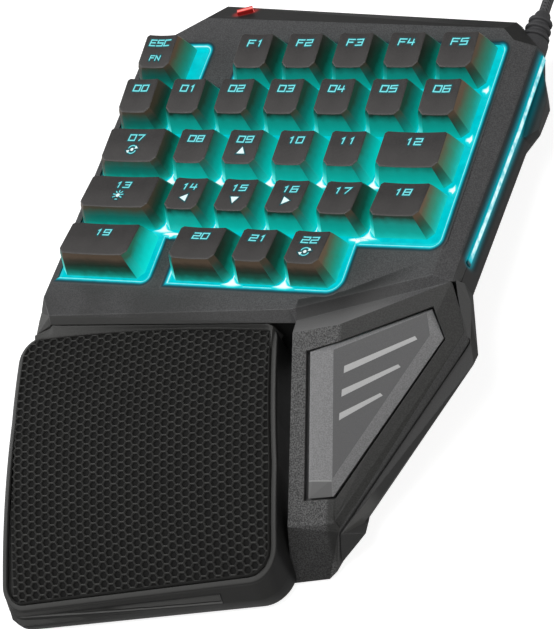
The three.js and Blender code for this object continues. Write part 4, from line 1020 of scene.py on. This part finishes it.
def light_guide_material():
    s = Shader("light_guide")
    x, y, z = s.deck_place()
    cloud = s.noise(3.5, 3.0)
    shade = s.mix(s.fit(cloud, 0.2, 0.8), rgb(0, 188, 198), rgb(0, 210, 218))
    left = s.fit(x, 1.0, -0.4) * s.span(y, -4.6, -4.4)
    return s.coat(rgb(0, 60, 64), 0.4, s.bump(cloud, 0.1, 0.1, s.rounded(0.2)),
                  glow=s.mix(left, shade, rgb(0, 44, 46)), strength=camera_only(s, 0.95, 1.6))


def glow_strip_material():
    """A white core of soft beads in a cyan strip, both fading out at the front end."""
    s = Shader("light_strip_glow")
    x, y, z = s.deck_place()
    end = STRIP_FRONT[1]
    middle = abs(z - STRIP_LEVEL)
    beads = s.fit(s.noise(2.5, 3.0), 0.3, 0.62, 0.2, 1.0)
    core = s.fit(middle, 1.2, 0.6) * beads * s.fit(y, end + 1.5, end + 5.0)
    edge = s.mix(s.fit(middle, 0.7, 1.5), rgb(0, 190, 206), rgb(0, 120, 132))
    edge = s.mix(s.fit(y, end + 1.6, end + 0.4), edge, rgb(4, 26, 30))
    return s.coat(rgb(0, 70, 76), 0.3, glow=s.mix(core, edge, rgb(226, 255, 255)),
                  strength=camera_only(s, 1.0, 2.0))


def red_lens_material():
    s = Shader("red_lens")
    off = off_lens_line(s)
    hot = s.mix(s.noise(1.2), rgb(255, 110, 104), rgb(255, 176, 168))
    red = s.mix(s.fit(off, 0.5, 0.95), rgb(214, 30, 26), rgb(70, 8, 8))
    return s.coat(s.mix(s.fit(off, 0.6, 0.9), rgb(90, 10, 10), rgb(34, 16, 15)), 0.35,
                  glow=s.mix(s.fit(off, 0.55, 0.25), red, hot), strength=1.0)


dress(light_guide_material(), "key_frame")
dress(glow_strip_material(), "light_strip_right")
dress(red_lens_material(), "indicator_lens")


# Soft light on the deck round the well

# How far the well's edge stands off the key cells: beside them, before and behind them, and at the right
WELL_SIDE, WELL_END, WELL_RIGHT = 1.4, 1, 2.45
WELL = [
    (-WELL_SIDE, -WELL_SIDE), (WELL_END, WELL_END), (1.25 * PITCH, WELL_END),
    (1.25 * PITCH, -PITCH + WELL_END), (2 * PITCH - WELL_SIDE, -PITCH + WELL_END),
    (2 * PITCH - WELL_SIDE, WELL_END), (7 * PITCH + WELL_RIGHT, WELL_END),
    (7 * PITCH + WELL_RIGHT, -4 * PITCH - WELL_END), (5.5 * PITCH + WELL_SIDE, -4 * PITCH - WELL_END),
    (5.5 * PITCH + WELL_SIDE, -5 * PITCH - WELL_END), (2.25 * PITCH - WELL_SIDE, -5 * PITCH - WELL_END),
    (2.25 * PITCH - WELL_SIDE, -4 * PITCH - WELL_SIDE), (1.75 * PITCH + WELL_SIDE, -4 * PITCH - WELL_SIDE),
    (1.75 * PITCH + WELL_SIDE, -5 * PITCH - WELL_END), (-WELL_SIDE, -5 * PITCH - WELL_END),
]
# The rounding of its corners, and of each corner a share of it
WELL_RADIUS = 3
WELL_ROUND_SHARES = (0, 0, 1, 0, 0, 0, 1.2, 1.3, 0, 1.8, 0, 0, 0, 1, 0)
# How far the lit border's corners lie from the well's own, by their number
LIP_MOVES = {
    6: (-0.3, 0), 7: (-0.3, -0.5), 8: (0, -0.5), 9: (0, 1.0), 10: (0, 1.0), 13: (0, 1.0), 14: (0, 1.0),
}
# The lit border from the deck to the inside: distance outside the well's edge, level and light
LIP_PROFILE = (
    (1.7, -0.985, 0.0), (1.0, -0.96, 0.16), (0.45, -0.95, 0.42), (0.0, -0.94, 0.68), (-0.35, -0.95, 0.86),
    (-0.55, -1.0, 1.0), (-0.72, -1.2, 0.96), (-0.8, -2.2, 0.74), (-0.8, -3.6, 0.6),
)
# Where the lit border ends at the left, beside the upper rows and beside the front row
LIP_LEFT, LIP_LEFT_FRONT = -0.6, -1.9


def lip_outline(distance):
    """The outline of the lit border, a little inside the well's own edge along the front."""
    moves = [LIP_MOVES.get(i, (0, 0)) for i in range(len(WELL))]
    moved = [(x + dx, y + dy) for (x, y), (dx, dy) in zip(WELL, moves)]
    radii = [share * WELL_RADIUS + distance if share else 0 for share in WELL_ROUND_SHARES]
    return rounded(shifted(moved, distance), radii, 8)


def lip_material():
    s = moulded("lip_glow", rgb(80, 80, 81), 0.5, grain=0.2, relief=0.35)
    x, y, z = s.deck_place()
    glow = s.attribute("glow")
    ripple = (s.noise(3.0) - 0.5) * 0.12
    glow = s.math("ADD", glow, ripple * s.fit(glow, 0.1, 0.4), clamp=True)
    behind = s.fit(y, -3.0, 0.0) * s.span(x, 1.5, 1.6) * s.span(x, 7.1, 6.9)
    glow = glow * (1.0 - behind * 0.6)
    s.paint(s.fit(glow, 0.0, 0.3), rgb(0, 22, 26))
    light = s.ramp(glow, (0.0, 0), (0.22, 0, 34, 40), (0.5, 0, 104, 118), (0.7, 0, 178, 194),
                   (0.86, 24, 222, 232), (1.0, 190, 252, 254))
    return s.coat(s.shade, glow=light, strength=1.0)


def make_lip():
    """The lit border of the well: it spills on the deck, then turns down inside. The left side has none."""
    rings = [[(x, y, level) for x, y in lip_outline(away)] for away, level, _ in LIP_PROFILE]
    values = flat([light] * len(rings[0]) for _, _, light in LIP_PROFILE)
    points, every_face = tube(rings, True)
    faces = []
    for face in every_face:
        x, y = (sum(points[i][k] for i in face) / 4 for k in (0, 1))
        if x > (LIP_LEFT if y > -4.5 * PITCH else LIP_LEFT_FRONT):
            faces.append(face)
    add_mesh("lip_glow", points, faces, BASE, lip_material(), DECK, values)


make_lip()


# Bright spots where the corners of the keys leave a gap: row, place across in key pitches, brightness

STARS = [(0, x, 0.35) for x in (3, 4, 5, 6)] + [(1, x, 0.5) for x in (1, 2, 3, 4, 5, 6)]
STARS += [(2, x + 0.5, 1.0) for x in (1, 2, 3, 4, 5)] + [(3, x + 0.75, 0.85) for x in (1, 2, 3, 4, 5)]
STARS += [(4, 3.5, 1.0), (4, 4.5, 1.0)]
SIDE_STARS = [(0, 0.95), (1, 1.0), (2, 1.0)]
INNER_CORNERS = [(5.5 * PITCH + 1.7, -4 * PITCH + 0.2), (2 * PITCH - 1.2, -4 * PITCH - 0.2)]
# Where their middles lie beside the corners of the cells
STAR_AHEAD = 1.5
SIDE_STAR_RIGHT, SIDE_STAR_AHEAD = 0.55, 0.5
EDGE_STAR_RIGHT = 0.05
# Their outlines in millimetres
HALF_STAR = [
    (0.0, 6.5), (-0.22, 2.0), (-1.65, 0.05), (-2.6, -0.6), (-4.2, -0.75), (-4.2, -1.1), (-1.2, -1.65),
]
STAR = HALF_STAR + [(-x, y) for x, y in reversed(HALF_STAR[1:])]
SIDE_STAR = [(0.0, 2.4), (-0.7, 1.2), (-2.0, 0.6), (-1.9, -0.5), (-0.6, -0.9), (0.0, -1.6), (0.45, -0.8),
             (0.7, 0.1), (0.45, 1.1)]
CORNER_STAR = [(0.0, 0.7), (-1.1, 0.7), (-3.6, 0.3), (-3.4, -0.5), (-0.9, -0.75), (-0.5, -1.6), (0.5, -1.3),
               (1.4, -0.6), (4.6, -0.3), (4.2, 0.4), (1.3, 0.6)]
EDGE_STAR = [(0.0, 1.5), (-0.5, 0.6), (-0.5, -0.6), (0.0, -1.3), (0.35, -0.5), (2.4, -0.3), (2.4, 0.3),
             (0.35, 0.6)]
STAR_TOP = -0.45
STAR_FOOT = -3.7


def star_material():
    s = Shader("hot_spot")
    light = s.ramp(s.attribute("glow"), (0.0, 0, 178, 184), (0.3, 40, 226, 230), (0.55, 190, 252, 252),
                   (0.8, 250, 255, 255))
    return s.coat(rgb(0, 60, 64), 0.4, glow=light, strength=s.fit(s.noise(1.2), 0.1, 0.9, 0.92, 1.0))


def star(cx, cy, outline, bright):
    """A painted glint of the light below, as a small glowing post: bright in its middle, its outline running
    out in points.
    """
    count = len(outline)
    points = [(cx + x, cy + y, level) for level in (STAR_TOP, STAR_FOOT) for x, y in outline]
    points += [(cx + x * 0.5, cy + y * 0.5, STAR_TOP) for x, y in outline] + [(cx, cy, STAR_TOP)]
    glow = [0.2 * bright] * count + [0.0] * count + [bright * 0.8] * count + [bright]
    faces = []
    for i in range(count):
        j = (i + 1) % count
        faces += [(i, j, 2 * count + j, 2 * count + i), (2 * count + i, 2 * count + j, 3 * count),
                  (j, i, count + i, count + j)]
    return points, faces, glow


def make_stars():
    stars = [star(x * PITCH, -(row + 1) * PITCH + STAR_AHEAD, STAR, bright) for row, x, bright in STARS]
    stars += [star(7 * PITCH + SIDE_STAR_RIGHT, -(row + 1) * PITCH + SIDE_STAR_AHEAD, SIDE_STAR, bright)
              for row, bright in SIDE_STARS]
    stars += [star(*centre, CORNER_STAR, 1.0) for centre in INNER_CORNERS]
    stars += [star(EDGE_STAR_RIGHT, -(row + 1) * PITCH, EDGE_STAR, 0.8) for row in (2, 3)]
    points, faces, glow = gather(stars)
    add_mesh("hot_spots", points, faces, BASE, star_material(), DECK, glow)


make_stars()


# Strain relief: ribbed collar on the cord, from its root to its tip

RELIEF_PLACE = (7.295 * PITCH, 0.12 * PITCH, -10)
RELIEF_LENGTH = 0.879 * PITCH
RELIEF_ROOT = 4.9
RELIEF_TIP = 3.3
RELIEF_SIDES = 48
RIB_HALF = 0.8
RIB_SHARES = (0.43, 0.61, 0.79)


def make_relief():
    root, tip = RELIEF_ROOT, RELIEF_TIP
    profile = [(0, root), (0.3, root - 0.05), (0.34, root - 0.3)]
    half = RIB_HALF / RELIEF_LENGTH
    rib = ((-half - 0.03, -0.75), (-half, -0.6), (-half + 0.012, 0.2), (-half + 0.035, 0.38))
    rib += tuple((-away, more) for away, more in reversed(rib))
    for share in RIB_SHARES:
        profile += [(share + away, root + (tip - root) * share + more) for away, more in rib]
    profile += [(0.96, tip - 0.7), (1.0, tip - 0.95)]
    cx, start, cz = RELIEF_PLACE
    rings = [[(x, start + share * RELIEF_LENGTH, z) for x, z in circle(cx, cz, radius, RELIEF_SIDES)]
             for share, radius in profile]
    points, faces = tube(rings, True)
    faces.append(tuple(range(RELIEF_SIDES)))
    faces.append(tuple(reversed(range(len(points) - RELIEF_SIDES, len(points)))))
    material = rubber("relief_rubber", rgb(70, 70, 72), 0.5, 0.3)
    piece = add_mesh("relief_collar", points, faces, BASE, material, DECK, sharp=50)
    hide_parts("strain_relief")


make_relief()


# Thumb button: satin facets, with a plain row of slanted bars laid into its face

PANEL_NORMAL = (DECK_METRES.to_3x3() @ Vector((0.2528, -0.468, 0.8468)).normalized()).normalized()
# The fold above the button's foot: a point of it and its slope across
FOLD_PLACE = (5.374 * PITCH, -7.741 * PITCH)
FOLD_SLOPE = 0.087
# Each bar: its four corners across the panel, in key pitches of the deck
MARKS = [
    ((5.80, -6.24), (6.93, -5.545), (6.89, -5.50), (5.80, -6.13)),
    ((5.79, -6.60), (6.70, -6.00), (6.655, -5.965), (5.79, -6.49)),
    ((5.78, -6.96), (6.45, -6.47), (6.405, -6.44), (5.78, -6.85)),
]
MARK_PARTS = 14
MARK_LIFT = 0.07


def button_material():
    # Painted light: the slanted facets in this lighter grey, the flat panel painted darker below.
    s = moulded("button_plastic", rgb(128, 128, 129), 0.45, grain=0.22, grain_size=0.4, relief=0.2,
                edge=rgb(170), radius=0.35, edge_gain=1.4)
    x, y, z = s.deck_place()
    fold = (x - FOLD_PLACE[0]) * FOLD_SLOPE + FOLD_PLACE[1] - y
    left = s.span(x, 5.75, 5.72)
    # At the left, below the fold: a painted darker foot facet and a painted highlight along the fold.
    s.paint(s.fit(fold, -0.05, 0.05) * left, rgb(106))
    s.paint(s.fit(abs(fold), 0.3, 0.1) * left * 0.7, rgb(158, 158, 157))
    # The flat panel painted darker than the lit facets.
    s.paint(s.fit(s.facing(*PANEL_NORMAL), 0.986, 0.9935),
            s.mix(s.noise(0.25, 3.0), rgb(80, 80, 81), rgb(104, 104, 105)))
    return s.coat(s.shade)


def make_marks():
    """Plain slanted bars laid on the button's panel, each point dropped onto the solid."""
    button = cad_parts["thumb_button"]
    points, faces = [], []
    for corners in MARKS:
        a, b, c, d = (Vector(corner) for corner in corners)
        start = len(points)
        for k in range(MARK_PARTS + 1):
            for p in (a.lerp(b, k / MARK_PARTS), d.lerp(c, k / MARK_PARTS)):
                above = DECK @ Vector((p.x * PITCH, p.y * PITCH, 0))
                place = button.ray_cast(above, Vector((0, 0, -1)))[1]
                points.append(place + PANEL_NORMAL * MARK_LIFT * MM)
        faces += [(k, k + 2, k + 3, k + 1) for k in range(start, start + 2 * MARK_PARTS, 2)]
    silver = moulded("mark_silver", rgb(184), 0.4, grain=0.06, grain_size=0.25, spread=0.08, relief=0.1)
    piece = add_mesh("thumb_marks", points, faces, "thumb_button", silver.material, Matrix())


dress(button_material(), "thumb_button")
make_marks()


# Palm rest

PALM_CORNERS = pitches((-0.656, -5.98), (4.388, -5.48), (4.793, -7.717), (4.95, -9.449), (-0.325, -10.572),
                       (-0.493, -7.507))
PALM_RADII = [share * PITCH for share in (0.47, 0.2, 2, 0.58, 0.37, 2)]
PALM_ORIGIN = (2.1 * PITCH, -5.696 * PITCH)
PALM_TURN = math.radians(8)
PALM_COS, PALM_SIN = math.cos(PALM_TURN), math.sin(PALM_TURN)
PALM_RUN = 83
PALM_BACK_HEIGHT = 37.1
PALM_FALL = 24.5
PALM_FALL_EVEN = 0.262
BACK_BULGE = 1.6
BULGE_PARTS = 12
# The back edge lies wholly behind this, and the left side's waist between the next two
BACK_EDGE_FROM = -130
WAIST_AHEAD, WAIST_BEHIND = -150, -136
# The pad's edge inside the palm rest's outline, and how much less along the back
RIM_WIDTH = 2
BACK_RIM_LESS = 0.7
# The honeycomb: pitch, ridge, its slope and depth, its stretch across and along, and the smooth border
CELL_PITCH = 2.75
CELL_RIDGE = 0.22
CELL_SLOPE = 0.3
CELL_DEPTH = 0.6
CELL_WIDE = 1.105
CELL_LONG = 0.93
CELL_REACH = 130
CELL_COLUMNS = int(CELL_REACH / (CELL_PITCH * math.sqrt(3) / 2))
CELL_ROWS = range(-10, 50)
PAD_BORDER = 0.35


def palm_height(x, y):
    run = ((x - PALM_ORIGIN[0]) * PALM_SIN - (y - PALM_ORIGIN[1]) * PALM_COS) / PALM_RUN
    return PALM_BACK_HEIGHT - PALM_FALL * (PALM_FALL_EVEN * run + (1 - PALM_FALL_EVEN) * run * run)


def palm_outline(distance, back_more=0.0, steps=12):
    """The palm rest's outline moved outwards, its back edge a shallow arc."""
    corners = [(x, y + (back_more if i < 2 else 0))
               for i, (x, y) in enumerate(shifted(PALM_CORNERS, distance))]
    points = rounded(corners, [r + distance for r in PALM_RADII], steps)
    after = points[1:] + points[:1]
    _, start = max((math.dist(p, q), i) for i, (p, q) in enumerate(zip(points, after))
                   if min(p[1], q[1]) > BACK_EDGE_FROM)
    bulge = []
    for k in range(1, BULGE_PARTS):
        share = k / BULGE_PARTS
        x, y = between(points[start], after[start], share)
        bulge.append((x, y + BACK_BULGE * 4 * share * (1 - share)))
    return points[:start + 1] + bulge + points[start + 1:]


def clipped(polygon, convex):
    """The part of a polygon of points with values that lies over a convex outline, corner order kept."""
    turn = turning(convex)
    for i, b in enumerate(convex):
        a = convex[i - 1]
        if not polygon:
            return []
        side = [turn * ((b[0] - a[0]) * (p[1] - a[1]) - (b[1] - a[1]) * (p[0] - a[0])) for p in polygon]
        if min(side) >= 0:
            continue
        kept = []
        for k, q in enumerate(polygon):
            p, sp, sq = polygon[k - 1], side[k - 1], side[k]
            if (sp >= 0) != (sq >= 0):
                t = sp / (sp - sq)
                kept.append(tuple(u + (v - u) * t for u, v in zip(p, q)))
            if sq >= 0:
                kept.append(q)
        polygon = kept
    return polygon


def convex_halves(outline):
    """The outline cut at its left waist, as two convex halves."""
    cut = min((p for p in outline if WAIST_AHEAD < p[1] < WAIST_BEHIND), key=lambda p: p[0])[1]
    crossings = []
    for i, b in enumerate(outline):
        a = outline[i - 1]
        if (a[1] - cut) * (b[1] - cut) <= 0 and a[1] != b[1]:
            crossings.append(a[0] + (b[0] - a[0]) * (cut - a[1]) / (b[1] - a[1]))
    ends = [(min(crossings), cut), (max(crossings), cut)]

    def ordered(points):
        cx, cy = (sum(p[k] for p in points) / len(points) for k in (0, 1))
        return sorted(points, key=lambda p: math.atan2(p[1] - cy, p[0] - cx))

    behind = [p for p in outline if p[1] >= cut]
    ahead = [p for p in outline if p[1] <= cut]
    return [ordered(behind + ends), ordered(ahead + ends)]


def pad_material():
    s = Shader("pad_rubber")
    # The 'glow' attribute carries the painted highlight: full on the ridges along the rows, less on the
    # slanted ones, fading down the cell walls to the dark rubber of the cell floors.
    ridge_highlight = s.attribute("glow")
    fine = s.noise(0.3, 3.0)
    low = s.mix(fine, rgb(10, 10, 9), rgb(17, 17, 16))
    high = s.mix(s.noise(10), rgb(52, 52, 51), rgb(72, 72, 70))
    return s.coat(s.mix(ridge_highlight, low, high), s.fit(ridge_highlight, 0.0, 1.0, 0.75, 0.5), s.bump(fine, 0.3, 0.05), 0.22)


def make_honeycomb(material):
    """Hexagon cells sunk into the pad, cut off at its border. Ridges along the rows take the most painted
    highlight.
    """
    outline = palm_outline(-RIM_WIDTH - PAD_BORDER, BACK_RIM_LESS)
    halves = convex_halves(outline)
    (left, right), (front, back) = ((min(p[k] for p in outline), max(p[k] for p in outline)) for k in (0, 1))
    radius = CELL_PITCH / math.sqrt(3)
    # Each ring of a cell: its size, its depth and its painted highlight.
    levels = ((radius, 0.0, 1.0), (radius - CELL_RIDGE, 0.04, 1.0),
              (radius - CELL_RIDGE - CELL_SLOPE, CELL_DEPTH, 0.0))
    points, faces, glow, index = [], [], [], {}

    def place(u, v):
        """A point that lies u across and v along the pad from its back."""
        return (PALM_ORIGIN[0] + u * PALM_COS - v * PALM_SIN,
                PALM_ORIGIN[1] + u * PALM_SIN + v * PALM_COS)

    def vertex(x, y, low, value):
        key = (round(x, 3), round(y, 3), round(low, 3), round(value, 2))
        if key not in index:
            index[key] = len(points)
            points.append((x, y, palm_height(x, y) - low))
            glow.append(value)
        return index[key]

    def add(polygon):
        for half in halves:
            kept = clipped(polygon, half)
            if len(kept) < 3:
                continue
            ids = []
            for corner in kept:
                k = vertex(*corner)
                if not ids or ids[-1] != k:
                    ids.append(k)
            if ids[0] == ids[-1]:
                ids.pop()
            if len(set(ids)) == len(ids) and len(ids) >= 3:
                faces.append(tuple(ids))

    for i in range(-CELL_COLUMNS, CELL_COLUMNS):
        for j in CELL_ROWS:
            u = i * CELL_PITCH * math.sqrt(3) / 2 * CELL_WIDE
            v = -(j + (0.5 if i % 2 else 0)) * CELL_PITCH * CELL_LONG
            cx, cy = place(u, v)
            if not (left - 3 < cx < right + 3 and front - 3 < cy < back + 3):
                continue
            rings = []
            for size, low, value in levels:
                rings.append([(*place(u + du * CELL_WIDE, v + dv * CELL_LONG), low, value)
                              for du, dv in circle(0, 0, size, 6)])
            for k in range(6):
                n = (k + 1) % 6
                # Painted highlight: full on ridges along the rows, less on slanted ones.
                shade = 1.0 if k in (1, 4) else 0.35
                add([(*rings[a][b][:3], shade) for a, b in ((0, k), (0, n), (1, n), (1, k))])
                add([rings[1][k], rings[1][n], rings[2][n], rings[2][k]])
            add(rings[2])
    piece = add_mesh("pad_honeycomb", points, faces, PALM, material, DESK, glow)
    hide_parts("palm_pad")


def make_pad_border(material):
    """The smooth border round the honeycomb, and the pad's edge."""
    profile = ((-PAD_BORDER - 0.25, 0.5), (-PAD_BORDER - 0.02, 0.0), (-0.15, 0.02), (0.0, 0.25), (0.0, 1.9))
    outlines = [palm_outline(away - RIM_WIDTH, BACK_RIM_LESS) for away, _ in profile]
    rings = [[(x, y, palm_height(x, y) - low) for x, y in subdivided(outline, 3.0, outlines[2])]
             for outline, (_, low) in zip(outlines, profile)]
    points, faces = tube(rings, True)
    # A quarter of the ridges' painted highlight over the whole border and edge.
    glow = [0.25] * len(points)
    add_mesh("pad_border", points, faces, PALM, material, DESK, glow, sharp=40)


rubber_pad = pad_material()
make_honeycomb(rubber_pad)
make_pad_border(rubber_pad)

SKIN_LIFT = 0.06
SKIN_EDGE = 0.6
SKIN_PART = 1.2
SLOT_DEPTH = 1.3
SLOT_LIP = 0.12
SLOT_FOOT_MOST = 8.8
# The skirt from the desk up: its foot's edge as distance and level, two levels, and where it leans from
SKIRT_FOOT = ((-0.6, 1.75), (-0.25, 2.3))
SKIRT_LEVELS = (3.6, 5.6)
SKIRT_LEAN_LEVEL = 7.0
# The skirt's foot leans by this much to the left behind, to the right ahead, and to the front
LEAN_LEFT, LEAN_RIGHT, LEAN_FRONT = 3, 0.7, 3.6
# The rim's inner edge, from the rounded edge down to the pad: distance inside and depth
RIM_INSIDE = ((1.3, 0.95), (1.7, 0.97), (1.85, 1.1), (1.9, 1.7))


def make_palm_skin():
    """The palm rest's rim and skirt as one smooth skin over the solid, with the slot along its front."""
    model = palm_outline(0.0)
    left, right = min(p[0] for p in model), max(p[0] for p in model)

    def outline(distance):
        return subdivided(palm_outline(distance), SKIN_PART, model)

    def leaned(ring, level):
        """The foot of the skirt leans to the left and the front, but not beside the module's front."""
        result = []
        for x, y in ring:
            share = (x - left) / (right - left)
            ahead = clamped((-7.4 * PITCH - y) / (1.6 * PITCH))
            ahead *= ahead * (3 - 2 * ahead)
            aside = LEAN_RIGHT * share * ahead - LEAN_LEFT * share * (1 - ahead)
            result.append((x + aside, y - LEAN_FRONT, level))
        return result

    def lowered(ring, drop):
        return [(x, y, palm_height(x, y) - drop) for x, y in ring]

    def slot_foot(x):
        return min(SLOT_FOOT + SLOT_FOOT_SLOPE * x, SLOT_FOOT_MOST)

    def slot_head(x):
        return SLOT_HEAD + SLOT_HEAD_SLOPE * clamped(x, 0, 80)

    skirt = outline(SKIN_LIFT)
    low, top = leaned(skirt, SKIRT_LEAN_LEVEL), lowered(skirt, 1 + SKIN_EDGE)
    slot = [0.0 < x < 3.8 * PITCH and y < -9 * PITCH for x, y in outline(0.0)]

    def wall(level, sunk=0.0):
        ring = []
        for (x, y, z), above, inside in zip(low, top, slot):
            height = level(x)
            if height > z:
                x, y, _ = between((x, y, z), above, (height - z) / (above[2] - z))
            if sunk and inside:
                x, y = x - 0.12 * sunk, y + sunk
            ring.append((x, y, height))
        return ring

    head = wall(slot_head)
    rings = [leaned(outline(distance), level) for distance, level in SKIRT_FOOT]
    rings += [wall(lambda x: level) for level in SKIRT_LEVELS]
    rings += [wall(slot_foot), wall(lambda x: slot_foot(x) + SLOT_LIP, SLOT_DEPTH),
              wall(lambda x: slot_head(x) - SLOT_LIP, SLOT_DEPTH), head]
    rings += [[between(a, b, share) for a, b in zip(head, top)] for share in (0.2, 0.4, 0.6, 0.8, 0.92)]
    for inset, drop in rounding(SKIN_EDGE, 5):
        rings.append(lowered(outline(SKIN_LIFT - inset), 1 + drop - 0.05))
    for inset, drop in RIM_INSIDE:
        rings.append(lowered(outline(SKIN_LIFT - inset), drop))
    points, faces = tube(rings, True)
    piece = add_mesh("palm_skin", points, faces, PALM, palm_shader.material, DESK, sharp=35)


make_palm_skin()

SADDLE_LEFT = -0.34
SADDLE_SPAN = 4.7
SADDLE_PARTS = 94
# The level of its top, and left of the first keys its level and slope
SADDLE_TOP = 39.3
SADDLE_LEFT_TOP, SADDLE_LEFT_SLOPE = 38.5, 0.1
# The deck's front edge: where it lies at x = 0, and its slope, to the right and to the left
NOSE_RIGHT, NOSE_RIGHT_SLOPE = -110.45, 1.215 / PITCH
NOSE_LEFT, NOSE_LEFT_SLOPE = -110.6, 0.48


def make_saddle():
    """The palm rest's raised back edge, which meets the front of the deck when the rest is pushed in."""
    outline = palm_outline(-1.95, BACK_RIM_LESS, 24)

    def pad_edge(x):
        """The pad's back edge at x, as its largest y."""
        best = []
        for i, (x1, y1) in enumerate(outline):
            x0, y0 = outline[i - 1]
            if min(x0, x1) <= x <= max(x0, x1) and x0 != x1:
                best.append(y0 + (y1 - y0) * (x - x0) / (x1 - x0))
        return max(best)

    def nose(x):
        """The deck's front edge at x."""
        return NOSE_RIGHT + NOSE_RIGHT_SLOPE * x if x > 0 else NOSE_LEFT + NOSE_LEFT_SLOPE * x

    profiles = []
    for k in range(SADDLE_PARTS + 1):
        x = (SADDLE_LEFT + SADDLE_SPAN * k / SADDLE_PARTS) * PITCH
        front, back = pad_edge(x), nose(x)
        low = palm_height(x, front)
        high = SADDLE_TOP if x > 0 else SADDLE_LEFT_TOP + SADDLE_LEFT_SLOPE * x
        rise = (high - low) * (1.0 if k < SADDLE_PARTS else 0.55)
        profile = [(front - 0.1, low - 1.6), (front, low - 0.35), (front + 0.25, low - 0.1)]
        for share in (0.3, 0.6, 0.85, 1.0):
            profile.append((front + 0.25 + (back - front - 0.25) * share, low + rise * share ** 1.2))
        profile += [(back + 0.15, low + rise - 0.4), (back + 0.15, low - 6.0)]
        profiles.append([(x, y, z) for y, z in profile])
    rows = len(profiles[0])
    faces = [(a, a + rows, a + rows + 1, a + 1)
             for k in range(SADDLE_PARTS) for a in range(k * rows, (k + 1) * rows - 1)]
    faces.append(tuple(range(rows)))
    faces.append(tuple(SADDLE_PARTS * rows + r for r in reversed(range(rows))))
    # Painted lighter than the palm rest's own plastic, like the rest's painted lighter top.
    s = moulded("palm_saddle_plastic", rgb(78, 78, 77), 0.5, grain=0.14, relief=0.25)
    add_mesh("palm_saddle", flat(profiles), faces, PALM, s.material, DESK, sharp=40)


make_saddle()


def make_shell_corner():
    """The deck's left front corner, whose side facet runs on down to the palm rest."""
    points = [(-5.49, -103.87, 39.5), (0.61, -107.36, 41.95), (-0.1, -110.5, 39.6), (-5.94, -113.35, 37.75),
              (-6.16, -108.57, 38.3), (-5.4, -103.87, 34.5), (-0.1, -110.5, 38.1), (-5.9, -113.3, 37.5),
              (-6.1, -108.57, 37.0)]
    faces = [(1, 3, 2), (0, 4, 1), (1, 4, 3), (0, 5, 8, 4), (4, 8, 7, 3), (3, 7, 6, 2), (5, 6, 7, 8),
             (0, 1, 2, 6, 5)]
    s = moulded("shell_corner_plastic", rgb(76, 76, 75), 0.5, grain=0.2)
    add_mesh("shell_corner", points, faces, BASE, s.material, DESK)


def make_flank_facet():
    """The facet between the module's shoulder and the ridge of the armoured flank, painted light as lit."""
    upper = pitches((7.432, -4.50, -0.30), (7.49, -4.71, -0.40), (7.556, -4.93, -0.53), (7.664, -5.25, -0.80))
    lower = pitches((7.47, -4.42, -0.52), (7.585, -4.66, -0.735), (7.63, -4.87, -0.78), (7.70, -5.25, -0.868))
    faces = [(i, i + 4, i + 5, i + 1) for i in range(3)]
    s = moulded("flank_facet_plastic", rgb(84), 0.5, grain=0.12, spread=0.08)
    add_mesh("flank_facet", upper + lower, faces, BASE, s.material, DECK)


make_shell_corner()
make_flank_facet()


# Floor, light and backdrop

FLOOR_HALF = 6.0
FLOOR_DROP = 0.0004
LIGHT_TARGET = Vector((0, 0, 0.02))


def make_floor():
    """A white ground that the camera and reflections see lit, and that lights nothing else."""
    s = Shader("floor")
    ray = s.node("LightPath")
    seen, gloss, through = (s.result(ray, f"Is {kind} Ray") for kind in ("Camera", "Glossy", "Transmission"))
    s.coat(s.mix(s.noise(400), (0.52, 0.52, 0.52, 1), (0.56, 0.56, 0.56, 1)), 0.9, specular=0.0,
           glow=(1, 1, 1, 1), strength=(seen * 0.85).most(gloss.most(through) * 0.14))
    corners = [(x * FLOOR_HALF, y * FLOOR_HALF, 0) for x, y in ((-1, -1), (1, -1), (1, 1), (-1, 1))]
    floor = put_in_scene("floor", new_mesh("floor", corners, [(0, 1, 2, 3)], s.material))
    floor.location = (0, 0, -FLOOR_DROP)


def area_light(name, place, size, power, color=(1, 1, 1)):
    data = bpy.data.lights.new(name, "AREA")
    data.shape = "RECTANGLE"
    data.size, data.size_y = size
    data.energy = power
    data.color = color
    lamp = put_in_scene(name, data)
    lamp.location = place
    lamp.rotation_euler = (LIGHT_TARGET - Vector(place)).to_track_quat("-Z", "Y").to_euler()


def make_world(strength):
    world = bpy.data.worlds.new("studio")
    world.use_nodes = True
    background = world.node_tree.nodes["Background"]
    background.inputs["Color"].default_value = (1, 1, 1, 1)
    background.inputs["Strength"].default_value = strength
    scene.world = world


make_floor()
make_world(0.18)
area_light("left_light", (-1.15, -0.15, 0.75), (0.8, 0.8), 9)
area_light("right_light", (1.15, -0.1, 0.8), (0.8, 0.7), 3.5, (1, 0.97, 0.94))
area_light("top_light", (0.0, -0.1, 1.4), (0.8, 0.8), 9)
scene.view_settings.view_transform = "Standard"
